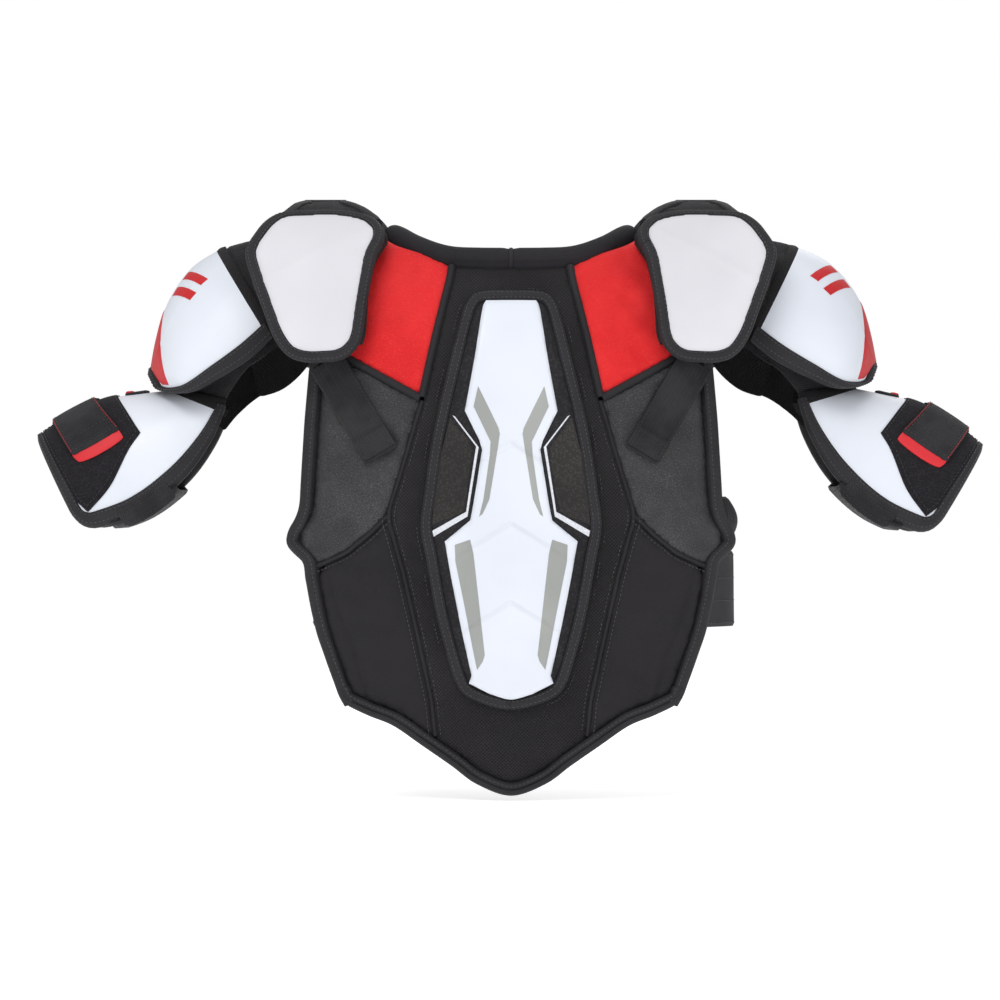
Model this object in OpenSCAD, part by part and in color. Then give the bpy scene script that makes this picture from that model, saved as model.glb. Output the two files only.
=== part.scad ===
// Ice hockey shoulder pads: torso vest with spine guard, shoulder wings, shoulder cups and upper arm guards.
// Frame: +Z up, the back of the vest faces -Y, the wearer's right arm is on +X.
// The origin is the middle of the wearer's chest. Millimetres.

/* [Torso] */
// Depth of the back panel behind the wearer's middle plane
back_depth = 112; // [106:1:116]
// Depth of the chest panel in front of the wearer's middle plane
chest_depth = 114; // [108:1:118]
// Thickness of the foam panels
panel_t = 11; // [8:1:13]
// Thickness of the inner lining
liner_t = 3; // [2:0.5:4]
// Radius of the collar roll
collar_r = 9; // [8:0.5:10]
// Width of the sewn edge binding
binding_w = 8; // [6:1:10]

/* [Guards] */
// Thickness of the moulded plates
plate_t = 2.5; // [2:0.5:3.5]
// Height of the spine guard above the back panel
spine_h = 9; // [7:1:11]
// Thickness of the padding under the shoulder wings
wing_pad_t = 9; // [7:1:10]
// Half depth of a shoulder cup, front to back
cup_half_depth = 66; // [63:1:67]
// Half depth of an upper arm guard, front to back
guard_half_depth = 54; // [50:1:56]

/* [Straps] */
// Width of the arm strap
arm_strap_w = 38; // [32:2:40]
// Width of the shoulder webbing on the back
webbing_w = 28; // [25:1:30]
// Thickness of the elastic straps
strap_t = 2.4; // [2:0.2:3]
// Height of the belly strap
belly_strap_h = 58; // [45:1:60]

/* [Resting pose] */
// Left shoulder cup, raised from its middle position
left_cup_angle = -2.5; // [-5:0.5:5]
// Right shoulder cup, raised from its middle position
right_cup_angle = 2.5; // [-5:0.5:5]
// Left upper arm guard, raised from its middle position
left_guard_angle = 5; // [-6:0.5:6]
// Right upper arm guard, raised from its middle position
right_guard_angle = -5; // [-6:0.5:6]

/* [Hidden] */

// ---------- small helpers ----------
function sumv(v, i = 0, s = 0) = i >= len(v) ? s : sumv(v, i + 1, s + v[i]);
function unit(v) = v / max(norm(v), 1e-9);
function flip(v) = [for (i = [len(v) - 1:-1:0]) v[i]];
function mix(a, b, t) = a + (b - a) * t;
// smooth curve through points at equal parameter steps, s from 0 to 1
function blend4(a, b, c, d, t) = 0.5 * (2 * b + (c - a) * t + (2 * a - 5 * b + 4 * c - d) * t * t + (3 * b - a - 3 * c + d) * t * t * t);
function curve(P, s) = let (n = len(P) - 1, f = min(max(s, 0) * n, n - 1e-6), i = floor(f))
    blend4(P[max(i - 1, 0)], P[i], P[i + 1], P[min(i + 2, n)], f - i);
// value of a table of [key, value] rows
function tab(z, T) = lookup(z, T);

// a closed solid from points and triangles, whichever way the triangles turn
module solid(p, f) {
    v = sumv([for (t = f) cross(p[t[0]], p[t[1]]) * p[t[2]]]);
    polyhedron(p, v > 0 ? [for (t = f) [t[0], t[2], t[1]]] : f, convexity = 6);
}
function quad(a, b, c, d) = [[a, b, c], [a, c, d]];
// the solid between two grids of points, P outside and Q inside
module slab(P, Q) {
    m = len(P); n = len(P[0]); M = m * n;
    solid(
        concat([for (r = P) each r], [for (r = Q) each r]),
        concat(
            [for (i = [0:m - 2], j = [0:n - 2]) each quad(i * n + j, i * n + j + 1, (i + 1) * n + j + 1, (i + 1) * n + j)],
            [for (i = [0:m - 2], j = [0:n - 2]) each quad(M + i * n + j, M + (i + 1) * n + j, M + (i + 1) * n + j + 1, M + i * n + j + 1)],
            [for (i = [0:m - 2]) each quad(i * n, (i + 1) * n, M + (i + 1) * n, M + i * n)],
            [for (i = [0:m - 2]) each quad(i * n + n - 1, M + i * n + n - 1, M + (i + 1) * n + n - 1, (i + 1) * n + n - 1)],
            [for (j = [0:n - 2]) each quad(j, M + j, M + j + 1, j + 1)],
            [for (j = [0:n - 2]) each quad((m - 1) * n + j, (m - 1) * n + j + 1, M + (m - 1) * n + j + 1, M + (m - 1) * n + j)]));
}
// a solid swept through rings of points, round and closed, or with flat ends
module loft(R, closed = false) {
    n = len(R[0]); m = len(R);
    solid(
        [for (r = R) each r],
        concat(
            [for (i = [0:m - (closed ? 1 : 2)], j = [0:n - 1]) each quad(i * n + j, i * n + (j + 1) % n, ((i + 1) % m) * n + (j + 1) % n, ((i + 1) % m) * n + j)],
            closed ? [] : [for (j = [1:n - 2]) [0, j + 1, j]],
            closed ? [] : [for (j = [1:n - 2]) [(m - 1) * n, (m - 1) * n + j, (m - 1) * n + j + 1]]));
}
// round tube along points P with radii r, cut off flat where x would fall below x0
module tube(P, r, sides = 8, x0 = -1000) {
    m = len(P);
    loft([for (i = [0:m - 1]) let (
        t = unit(P[min(i + 1, m - 1)] - P[max(i - 1, 0)]),
        a = unit(cross(t, [0, 0.15, 1])), b = cross(t, a))
        [for (k = [0:sides - 1]) let (q = P[i] + r[i] * (cos(360 * k / sides) * a + sin(360 * k / sides) * b)) [max(q[0], x0), q[1], q[2]]]]);
}
module right_or_left(s) { if (s < 0) mirror([1, 0, 0]) children(); else children(); }

// ---------- surfaces: each gives the point at (x, z) or (u, v), d outside the surface ----------
function round_side(x) = pow(1 - pow(min(abs(x), 196) / 200, 3), 0.6);
BACK = [82, 90, 96, 100, 103, 106, 108, 110, 112, 113, 112, 108, 101, 89, 71, 44, 8];
CHEST = [84, 90, 96, 100, 96, 102, 107, 111, 114, 116, 116, 113, 103, 86, 62, 30, -8];
function back_y(x, z) = -curve(BACK, (z + 240) / 480) * back_depth / 112 * round_side(x);
function chest_y(x, z) = curve(CHEST, (z + 240) / 480) * chest_depth / 114 * round_side(x);
function back_at(x, z, d) = let (
    gx = (back_y(x + 1, z) - back_y(x - 1, z)) / 2, gz = (back_y(x, z + 1) - back_y(x, z - 1)) / 2)
    [x, back_y(x, z), z] + d * unit([gx, -1, gz]);
function chest_at(x, z, d) = let (
    gx = (chest_y(x + 1, z) - chest_y(x - 1, z)) / 2, gz = (chest_y(x, z + 1) - chest_y(x, z - 1)) / 2)
    [x, chest_y(x, z), z] + d * unit([-gx, 1, -gz]);

// a shoulder wing arches from back to front over a ridge; a is the angle over the arch, 0 behind, 180 in front
WING_Z = 100; WING_H = 134; WING_Y = 106;
function wing_bow(x) = 1 - 0.12 * pow(max(x - 120, 0) / 90, 2);
function wing_raw(x, a) = [x, -WING_Y * wing_bow(x) * cos(a), WING_Z + WING_H * sign(sin(a)) * pow(abs(sin(a)), 2 / 2.2)];
function wing_over(x, a, d) = let (
    t = wing_raw(x, a + 1) - wing_raw(x, a - 1), w = wing_raw(x + 1, a) - wing_raw(x - 1, a))
    wing_raw(x, a) + d * unit(cross(w, t));
function wing_angle(z) = asin(pow(min(max((z - WING_Z) / WING_H, 0), 1), 1.1));
function wing_at(x, z, d) = wing_over(x, wing_angle(z), d);

// an arch over the arm: crest line C, lower edges B behind and F in front, half depth W
function arch_raw(A, u, v) = let (
    C = curve(A[0], u), B = curve(A[1], u), F = curve(A[2], u), W = curve(A[3], u),
    a = 180 * v, L = a < 90 ? B : F, q = L + (C - L) * sin(a))
    [q[0], -W * cos(a), q[1]];
function arch_at(A, u, v, d) = let (
    uu = min(max(u, 0.002), 0.998),
    t = arch_raw(A, uu, v + 0.01) - arch_raw(A, uu, v - 0.01),
    w = arch_raw(A, uu + 0.002, v) - arch_raw(A, uu - 0.002, v))
    arch_raw(A, uu, v) + d * unit(cross(w, t));
// part of an arch between u0..u1 and v0..v1, from d0 inside to d1 outside
module arch_shell(A, u0, u1, v0, v1, d0, d1, nu, nv)
    slab([for (i = [0:nu]) [for (j = [0:nv]) arch_at(A, mix(u0, u1, i / nu), mix(v0, v1, j / nv), d1)]],
         [for (i = [0:nu]) [for (j = [0:nv]) arch_at(A, mix(u0, u1, i / nu), mix(v0, v1, j / nv), d0)]]);

CUP_PIVOT = [215, 0, 131];
GUARD_PIVOT = [250, 0, 95];
cup_w = cup_half_depth;
CUP = [[[222, 197], [246, 182], [265, 156], [276, 127], [283, 100]],
       [[182, 124], [201, 107], [226, 93], [251, 83], [277, 88]],
       [[182, 124], [201, 107], [226, 93], [251, 83], [277, 88]],
       [cup_w - 2, cup_w + 2, cup_w + 1, cup_w - 7, 20]];
TOP_FABRIC = [[[180, 202], [201, 202], [221, 197.5]], [[166, 140], [173, 131], [181, 124.5]], [[166, 140], [173, 131], [181, 124.5]],
       [cup_w - 3, cup_w - 2, cup_w - 2]];
SLEEVE = [[[168, 184], [184, 178], [202, 170], [218, 158], [233, 142]],
       [[170, 126], [180, 119], [190, 112], [199, 106], [206, 101]],
       [[162, 104], [173, 93], [184, 86], [195, 82], [205, 79]],
       [50, 51, 51, 49, 46]];
g_w = guard_half_depth;
GUARD = [[[262, 87], [290, 82], [318, 76], [345, 62], [369, 45]],
       [[222, 78], [233, 49], [254, 18], [286, -9], [329, -25]],
       [[222, 78], [233, 49], [254, 18], [286, -9], [329, -25]],
       [g_w - 14, g_w - 7, g_w - 1, g_w + 1, g_w]];

// ---------- outlines, as tables of [z, x] ----------
edge_x = [[-146, 133], [-127, 140], [-100, 150], [-69, 160], [-43, 168], [-28, 172], [-15, 169], [15, 163], [62, 158], [108, 154], [200, 150], [230, 149]];
seam_x = [[-195, 57], [-154, 61], [-107, 71], [-59, 82], [-12, 95], [26, 83], [77, 68], [127, 57], [177, 45]];
blade_low_x = [[-62, 190], [-55, 161], [-47, 142], [-41, 128], [-26, 109], [-12, 95]];
yoke_low_x = [[77, 68], [106, 121], [122, 150]];
hem_z = [[0, -226], [26, -217], [45, -203], [68, -187], [90, -172], [110, -164], [128, -155], [133, -146]];
hem_x = [[-226, 0], [-217, 26], [-203, 45], [-187, 68], [-172, 90], [-164, 110], [-155, 128], [-146, 133]];
neck_back_x = [[177, 45], [187, 60], [200, 90], [207, 99]];
chest_x = [[-62, 112], [-50, 128], [-30, 138], [20, 140], [60, 136], [108, 135], [143, 141]];

// inner edge of the binding, as [z, x]
inner_x = concat([for (x = [0, 12, 26, 45, 68, 87, 104, 120]) [tab(x, hem_z) + binding_w, x]], [[-147 + binding_w, 126]],
    [for (z = [-130, -116, -100, -83, -69, -56]) [z, tab(z, edge_x) - binding_w]]);

// a panel on a torso surface, between two edges given by functions of z
module panel(S, rows, left, right, cols, d0, d1)
    slab([for (z = rows) [for (j = [0:cols]) S(mix(left(z), right(z), j / cols), z, d1)]],
         [for (z = rows) [for (j = [0:cols]) S(mix(left(z), right(z), j / cols), z, d0)]]);
// a strip of binding along points p, reaching to q
module strip(S, p, q, d0, d1)
    slab([for (i = [0:len(p) - 1]) [S(p[i][0], p[i][1], d1), S(q[i][0], q[i][1], d1)]],
         [for (i = [0:len(p) - 1]) [S(p[i][0], p[i][1], d0), S(q[i][0], q[i][1], d0)]]);
// outline points moved inwards by w, for an outline that turns anticlockwise
function inset(O, w) = [for (i = [0:len(O) - 1]) let (
    n = len(O), a = unit(O[i] - O[(i + n - 1) % n]), b = unit(O[(i + 1) % n] - O[i]), t = unit(a + b))
    O[i] + w * [-t[1], t[0]] / max(a * t, 0.6)];
// a plate with outline O, in rings about the point c
module plate(S, O, c, d0, d1, K = 3) {
    n = len(O); M = 1 + K * n;
    pts = function(d) concat([S(c[0], c[1], d)], [for (k = [1:K], p = O) let (q = mix(c, p, k / K)) S(q[0], q[1], d)]);
    solid(concat(pts(d1), pts(d0)), concat(
        [for (i = [0:n - 1]) [0, 1 + i, 1 + (i + 1) % n]],
        [for (k = [0:K - 2], i = [0:n - 1]) each quad(1 + k * n + i, 1 + (k + 1) * n + i, 1 + (k + 1) * n + (i + 1) % n, 1 + k * n + (i + 1) % n)],
        [for (i = [0:n - 1]) [M, M + 1 + (i + 1) % n, M + 1 + i]],
        [for (k = [0:K - 2], i = [0:n - 1]) each quad(M + 1 + k * n + i, M + 1 + k * n + (i + 1) % n, M + 1 + (k + 1) * n + (i + 1) % n, M + 1 + (k + 1) * n + i)],
        [for (i = [0:n - 1]) let (a = 1 + (K - 1) * n + i, b = 1 + (K - 1) * n + (i + 1) % n) each quad(a, M + a, M + b, b)]));
}
// a closed frame between outline O and outline I
module frame_ring(S, O, I, d0, d1)
    loft([for (i = [0:len(O) - 1]) [S(O[i][0], O[i][1], d0), S(O[i][0], O[i][1], d1), S(I[i][0], I[i][1], d1), S(I[i][0], I[i][1], d0)]], closed = true);

back_s = function(x, z, d) back_at(x, z, d);
chest_s = function(x, z, d) chest_at(x, z, d);
wing_s = function(x, z, d) wing_at(x, z, d);
wing_front_s = function(x, z, d) let (p = wing_at(x, z, d)) [p[0], -p[1], p[2]];

// ---------- back ----------
C_BLACK = [0.13, 0.13, 0.14]; C_SATIN = [0.17, 0.17, 0.18]; C_BIND = [0.2, 0.2, 0.21]; C_WHITE = [0.93, 0.94, 0.97];
C_RED = [0.87, 0.12, 0.16]; C_GREY = [0.66, 0.68, 0.65]; C_LINER = [0.08, 0.08, 0.09];
bw = binding_w;
g = 0.6; // gap between sewn neighbours

module back_centre_panel() color(C_BLACK) {
    rows = [-216.5, -213.8, -209, -202, -195, -187, -172, -154, -131, -107, -83, -59, -36, -12, 7, 26, 52, 77, 102, 127, 152, 174];
    r = function(z) min(tab(z, inner_x), tab(z, seam_x)) - g;
    l = function(z) -r(z);
    panel(back_s, rows, l, r, 8, -panel_t, 0);
}
module blade_panel(s) right_or_left(s) color(C_SATIN) {
    rows = [-52, -47, -41, -26, -12, 7, 26, 52, 77, 92, 106, 118];
    l = function(z) (z < -12 ? tab(z, blade_low_x) : z < 77 ? tab(z, seam_x) : tab(z, yoke_low_x)) + g;
    r = function(z) tab(z, edge_x) - bw - g;
    panel(back_s, rows, l, r, 4, -panel_t, 0);
}
module side_panel(s) right_or_left(s) color(C_BLACK) {
    rows = [-184, -171, -160, -151.6, -139, -130, -116, -100, -83, -69, -60, -52, -47, -41, -26, -14];
    l = function(z) tab(z, seam_x) + g;
    r = function(z) min(z > -57 ? 190 : tab(z, inner_x), tab(z, edge_x) - bw, tab(z, blade_low_x) - 1) - g - 1;
    panel(back_s, rows, l, r, 4, -panel_t, 0);
}
module rear_yoke(s) right_or_left(s) color(C_RED) {
    rows = [80, 92, 106, 122, 140, 158, 177, 190, 204];
    l = function(z) (z > 177 ? tab(z, neck_back_x) + 8 : tab(z, seam_x)) + g;
    r = function(z) min(tab(z, yoke_low_x), tab(z, edge_x) - bw) - g;
    panel(back_s, rows, l, r, 4, -panel_t, -1);
}
module back_liner() color(C_LINER) {
    rows = [-210, -187, -172, -154, -131, -107, -83, -59, -36, -12, 7, 26, 52, 77, 106, 127, 152, 174];
    r = function(z) (z < -146 ? tab(z, hem_x) : tab(z, edge_x)) - 12;
    l = function(z) -r(z);
    panel(back_s, rows, l, r, 10, -panel_t - liner_t - 1, -panel_t - 1);
}
module back_edge_binding() color(C_BIND) for (s = [-1, 1]) right_or_left(s) {
    e = concat(
        [for (z = [196, 150, 108, 85, 62, 38, 15, 0, -15, -28, -43, -56, -69, -83, -100, -116, -130, -138]) [tab(z, edge_x), z]],
        [for (x = [132, 120, 104, 87, 68, 45, 26, 12, 0]) [x, tab(x, hem_z)]]);
    k = [for (i = [0:len(e) - 1]) i < 18 ? [e[i][0] - bw, e[i][1]] : [i == 18 ? 126 : e[i][0], e[i][1] + bw]];
    strip(back_s, e, k, -panel_t - 1, 1.5);
}
// outline of the spine guard, right half from the top, then mirrored
SPINE_HALF = [[24, 157], [33, 150], [38, 137], [46, 105], [53, 76], [60, 42], [65, 7], [68, -20], [64, -44], [57, -84], [49, -116], [42, -138], [35, -148], [20, -155]];
SPINE_OUT = concat([[0, -159]], flip(SPINE_HALF), [[0, 158]], [for (p = SPINE_HALF) [-p[0], p[1]]]);
module spine_guard_binding() color(C_BIND)
    frame_ring(back_s, SPINE_OUT, inset(SPINE_OUT, 8), 1.8, spine_h - 2);
module spine_guard_frame() color(C_BLACK) {
    O = inset(SPINE_OUT, 8.6);
    plate(back_s, O, [0, -20], 1.8, spine_h - 2.7, 4);
}
PLATE_HALF = [[19, 149], [22, 142], [28, 105], [35, 67], [24, 45], [22, 38], [28, 1], [31, -15], [50, -31], [45, -60], [38, -96], [30, -133], [32, -139], [16, -147]];
PLATE_OUT = concat([[0, -151]], flip(PLATE_HALF), [[0, 149]], [for (p = PLATE_HALF) [-p[0], p[1]]]);
module spine_guard_plate() color(C_WHITE)
    plate(back_s, inset(PLATE_OUT, -0.5), [0, -5], spine_h - 1.2, spine_h - 1.2 + plate_t, 4);

// neck ring, right half, from the back seam round the side to the front seam
NECK = [[0.2, -63, 184], [25, -62.5, 184.5], [50, -57, 186.5], [73, -42, 195], [88, -20, 204], [91, 5, 205], [83, 32, 196], [66, 54, 178], [44, 68, 160], [22, 76, 148], [0.2, 79, 143]];
module collar(s) right_or_left(s) color(C_BLACK) {
    n = 18;
    P = [for (i = [0:n]) curve(NECK, i / n)];
    tube([for (i = [0:n]) i == 0 || i == n ? [0.2, P[i][1], P[i][2]] : P[i]], [for (i = [0:n]) collar_r - (i > 4 ? 1.5 : 0)], 8, 0.15);
}
// shoulder webbing, from under the wing down to its stitched end on the back
module rear_webbing() color(C_BIND) for (s = [-1, 1]) right_or_left(s) {
    a = [95, 34]; b = [133, 97]; t = unit(b - a); w = webbing_w / 2 * [t[1], -t[0]];
    p = [for (i = [0:5]) mix(a, b, i / 5) - w];
    q = [for (i = [0:5]) mix(a, b, i / 5) + w];
    strip(back_s, p, q, 1.2, 1.2 + strap_t);
}
// padded strap over the shoulder, from the yoke to the chest: rows of [z, y, inner x, outer x]
BRIDGE = [[208, -45, 101, 149], [214, -33, 102, 149], [218, -16, 102, 148], [219, 4, 102, 147], [216, 22, 100, 146], [207, 38, 97, 145], [195, 50, 93, 144], [180, 63, 74, 143], [160, 79, 50, 142], [136.5, 94, 22, 141]];
function bridge_raw(i, j) = let (r = curve(BRIDGE, i), x = mix(r[2], r[3], j))
    [x, r[1] * (abs(r[1]) > 25 ? round_side(x) : mix(1, round_side(x), abs(r[1]) / 25)), r[0] - max(x - 125, 0) * 0.16];
function bridge_at(i, j, d) = let (
    t = bridge_raw(min(i + 0.02, 1), j) - bridge_raw(max(i - 0.02, 0), j), w = bridge_raw(i, j + 0.02) - bridge_raw(i, j - 0.02))
    bridge_raw(i, j) + d * unit(cross(w, t));
module shoulder_bridge(s) right_or_left(s) color(C_BLACK)
    slab([for (i = [0:12]) [for (j = [0:3]) bridge_at(i / 12, j / 3, 0)]],
         [for (i = [0:12]) [for (j = [0:3]) bridge_at(i / 12, j / 3, -panel_t + 2)]]);

// ---------- chest ----------
module chest_panel() color(C_BLACK) {
    rows = [-53.4, -44, -30, -5, 20, 40, 60, 84, 108, 126, 134];
    r = function(z) tab(z, chest_x) - bw - g;
    l = function(z) -r(z);
    panel(chest_s, rows, l, r, 8, -panel_t, 0);
}
module chest_liner() color(C_LINER) {
    rows = [-53, -44, -30, -5, 20, 40, 60, 84, 108, 126];
    r = function(z) tab(z, chest_x) - 12;
    l = function(z) -r(z);
    panel(chest_s, rows, l, r, 8, -panel_t - liner_t - 1, -panel_t - 1);
}
module chest_edge_binding() color(C_BIND) {
    for (s = [-1, 1]) right_or_left(s) {
        p = [for (z = [132, 108, 84, 60, 40, 20, -5, -30, -44, -53]) [tab(z, chest_x), z]];
        strip(chest_s, p, [for (e = p) [e[0] - bw, e[1]]], -panel_t - 1, 1.5);
    }
    h = [for (x = [-110, -80, -50, -20, 20, 50, 80, 110]) [x, -54 - bw]];
    strip(chest_s, h, [for (e = h) [e[0], -54]], -panel_t - 1, 1.5);
}
STERNUM = [[0, -18], [16, -12], [30, 18], [38, 66], [34, 112], [24, 126], [0, 124], [-24, 126], [-34, 112], [-38, 66], [-30, 18], [-16, -12]];
module sternum_plate() color(C_WHITE)
    plate(chest_s, STERNUM, [0, 60], 3, 3 + plate_t, 3);
PEC = [[48, 44], [62, 24], [96, 26], [116, 48], [119, 86], [104, 112], [70, 120], [46, 112]];
module chest_plates() color(C_WHITE) for (s = [-1, 1]) right_or_left(s)
    plate(chest_s, PEC, [82, 72], 3, 3 + plate_t, 3);
module chest_loop_patches() color(C_LINER) for (s = [-1, 1]) right_or_left(s)
    plate(chest_s, [[56, -44], [110, -42], [122, -6], [120, 10], [58, 10]], [90, -15], 2.2, 3.4, 2);

// ---------- side straps ----------
// the wide strap starts at the rim of the back's side panel and closes on the loop patch of the chest
function rim(z) = back_at(tab(z, edge_x), z, -panel_t - 1) + [2.4, 0.8, 0];
BELLY_RIGHT = [[172, -28], [177, 0], [172, 32], [162, 63], [144, 89], [120, 106], [96, 113]];
BELLY_LEFT = [[156, -28], [156, 2], [155, 34], [150, 64], [139, 91], [119, 106], [96, 113]];
module belly_strap(s) right_or_left(s) color(C_BIND) {
    n = 14;
    path = function(t, z) curve(concat([[rim(z)[0], rim(z)[1]]], s > 0 ? BELLY_RIGHT : BELLY_LEFT), t);
    z1 = function(t) -40 - belly_strap_h + (t < 0.45 ? 0 : 44 * pow((t - 0.45) / 0.55, 1.3)); 
    z2 = function(t) -40 + (t < 0.45 ? 0 : 34 * pow((t - 0.45) / 0.55, 1.3));
    nn = function(t, z) let (d = unit(path(min(t + 0.01, 1), z) - path(max(t - 0.01, 0), z))) [d[1], -d[0]];
    at = function(t, k, d) let (z = mix(-40 - belly_strap_h, -40, k), q = path(t, z) + d * nn(t, z)) [q[0], q[1], mix(z1(t), z2(t), k)];
    slab([for (i = [0:n]) [for (k = [0, 0.5, 1]) at(i / n, k, strap_t)]], [for (i = [0:n]) [for (k = [0, 0.5, 1]) at(i / n, k, 0)]]);
}
// elastic that joins back and chest under the armpit, fixed at both ends
module side_elastics() color(C_BIND) for (s = [-1, 1]) right_or_left(s) {
    n = 10; Z = [-34, -27, -16, -6, 2];
    base = function(t) curve([[154, -50], [162, -40], [166, -20], [166, 2], [163, 26], [154, 48], [140, 62], [124, 72]], t);
    at = function(i, k) let (t = i / n, q = base(t), b = (s > 0 ? 9 : 0) * sin(180 * t) * sin(180 * k / 4)) [q[0] + b, q[1], Z[k]];
    nn = function(i) let (t = unit(base(min(i + 1, n) / n) - base(max(i - 1, 0) / n))) [t[1], -t[0], 0];
    slab([for (i = [0:n]) [for (k = [0:4]) at(i, k) + nn(i) * strap_t]], [for (i = [0:n]) [for (k = [0:4]) at(i, k)]]);
}

// ---------- shoulder wings ----------
WING_EDGE = [[94, 207], [103, 190], [108, 165], [110, 128], [116, 110], [138, 102], [161, 103], [177, 112], [187, 134], [201, 168], [203, 186], [193, 206], [173, 225], [160, 231], [140, 232], [117, 229], [101, 219]];
WING_PLATE = inset(WING_EDGE, 8.6);
wing_lo_x = [[102, 138], [110, 116], [128, 110], [165, 108], [190, 103], [207, 94], [219, 101], [229, 112], [234, 112]];
wing_hi_x = [[103, 161], [112, 177], [134, 187], [168, 201], [186, 203], [206, 193], [225, 173], [234, 166]];
module wing_pad(s) right_or_left(s) color(C_BLACK) {
    A = [7, 14, 22, 32, 42, 52, 62, 72, 81, 90, 99, 108, 118, 128, 138, 148, 158, 166, 173];
    row = function(a, d) let (z = wing_raw(140, a)[2]) [for (j = [0:4]) wing_over(mix(tab(z, wing_lo_x) + 1.5, tab(z, wing_hi_x) - 1.5, j / 4), a, d)];
    slab([for (a = A) row(a, -4)], [for (a = A) row(a, -4 - wing_pad_t)]);
}
module wing_plate(s, front) right_or_left(s) color(C_WHITE)
    plate(front ? wing_front_s : wing_s, WING_PLATE, [152, 166], -1.2, -1.2 + plate_t, 3);
module wing_binding(s) right_or_left(s) color(C_BIND) {
    frame_ring(wing_s, WING_EDGE, inset(WING_EDGE, 8), -2.2, 2);
    frame_ring(wing_front_s, WING_EDGE, inset(WING_EDGE, 8), -2.2, 2);
}

// ---------- arms, built in their middle position and turned to rest ----------
module cup_pose(a) translate(CUP_PIVOT) rotate([0, -a, 0]) translate(-CUP_PIVOT) children();
module guard_pose(a) translate(GUARD_PIVOT) rotate([0, -a, 0]) translate(-GUARD_PIVOT) children();
module on_cup(s) right_or_left(s) cup_pose(s > 0 ? right_cup_angle : left_cup_angle) children();
module on_guard(s) on_cup(s) guard_pose(s > 0 ? right_guard_angle : left_guard_angle) children();

module cup_shell(s) on_cup(s) color(C_WHITE) arch_shell(CUP, 0, 0.94, 0.045, 0.955, -plate_t, 0, 8, 14);
module cup_liner(s) on_cup(s) color(C_LINER) arch_shell(CUP, 0, 0.94, 0.045, 0.955, -plate_t - 5.4, -plate_t - 0.4, 8, 14);
module cup_binding(s) on_cup(s) color(C_BIND) {
    arch_shell(CUP, 0, 0.94, -0.03, 0.04, -8, 1.5, 8, 1);
    arch_shell(CUP, 0, 0.94, 0.96, 1.03, -8, 1.5, 8, 1);
    arch_shell(CUP, 0.945, 1, 0.01, 0.99, -6, 1.5, 1, 10);
}
module cup_top_fabric(s) on_cup(s) color(C_BLACK) arch_shell(TOP_FABRIC, 0, 1, 0.02, 0.98, -4, -1, 3, 14);
module arm_sleeve(s) on_cup(s) color(C_BLACK) arch_shell(SLEEVE, 0, 1, 0, 1, -6, 0, 6, 14);

module guard_shell(s) on_guard(s) color(C_WHITE) arch_shell(GUARD, 0, 0.945, 0.035, 0.965, -plate_t + 0.5, 0, 8, 14);
module guard_liner(s) on_guard(s) color(C_LINER) arch_shell(GUARD, 0, 0.945, 0.035, 0.965, -9, -plate_t + 0.1, 8, 14);
module guard_binding(s) on_guard(s) color(C_BIND) {
    arch_shell(GUARD, 0, 0.94, -0.035, 0.03, -10, 1.5, 8, 1);
    arch_shell(GUARD, 0, 0.94, 0.97, 1.035, -10, 1.5, 8, 1);
    arch_shell(GUARD, 0.95, 1, 0.0, 1.0, -9, 1.5, 1, 14);
}
module guard_loop_panel(s) on_guard(s) color(C_LINER) {
    V = [0.06, 0.13, 0.2, 0.28, 0.36, 0.44, 0.5];
    u0 = function(v) tab(v, [[0.06, 0.86], [0.2, 0.62], [0.3, 0.46], [0.5, 0.44]]);
    slab([for (v = V) [for (j = [0:4]) arch_at(GUARD, mix(u0(v), 0.935, j / 4), v, 1.9)]],
         [for (v = V) [for (j = [0:4]) arch_at(GUARD, mix(u0(v), 0.935, j / 4), v, 0.7)]]);
}
us = 0.7; du = arm_strap_w / 118 / 2; // middle and half width of the strap along the guard
// arm strap: down the front of the guard and under the arm to its rear edge
module arm_strap(s) on_guard(s) color(C_BIND) {
    under = function(u, t, d) let (
        C = curve(GUARD[0], u), L = curve(GUARD[1], u), W = curve(GUARD[3], u), n = unit(L - C), a = 180 * t,
        q = L + n * (11 + d) * (t < 0.02 ? 0 : 1))
        [q[0], (W + 4 + d) * cos(a), q[1]];
    row = function(u, d) concat([for (v = [0.53, 0.6, 0.7, 0.8, 0.9, 0.97]) arch_at(GUARD, u, v, 3 + d)],
        [for (t = [0.02, 0.25, 0.5, 0.75, 0.94]) under(u, t, d)]);
    slab([for (k = [-1, 0, 1]) row(us + k * du, strap_t)], [for (k = [-1, 0, 1]) row(us + k * du, 0)]);
}
module strap_hook_tab(s) on_guard(s) color(C_BIND)
    arch_shell(GUARD, us - du, us + du, 0.24, 0.515, 3, 3 + strap_t, 3, 6);
module strap_pull_tab(s) on_guard(s) color(C_RED)
    arch_shell(GUARD, us - du + 0.02, us + du - 0.02, 0.17, 0.232, 3, 3 + 1.6, 3, 2);
// short strap that ties the guard to the cup above it
module cup_link_strap(s) on_guard(s) color(C_BIND)
    arch_shell(GUARD, 0.2, 0.36, 0.47, 0.54, 0.8, 2.4, 3, 3);

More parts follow.
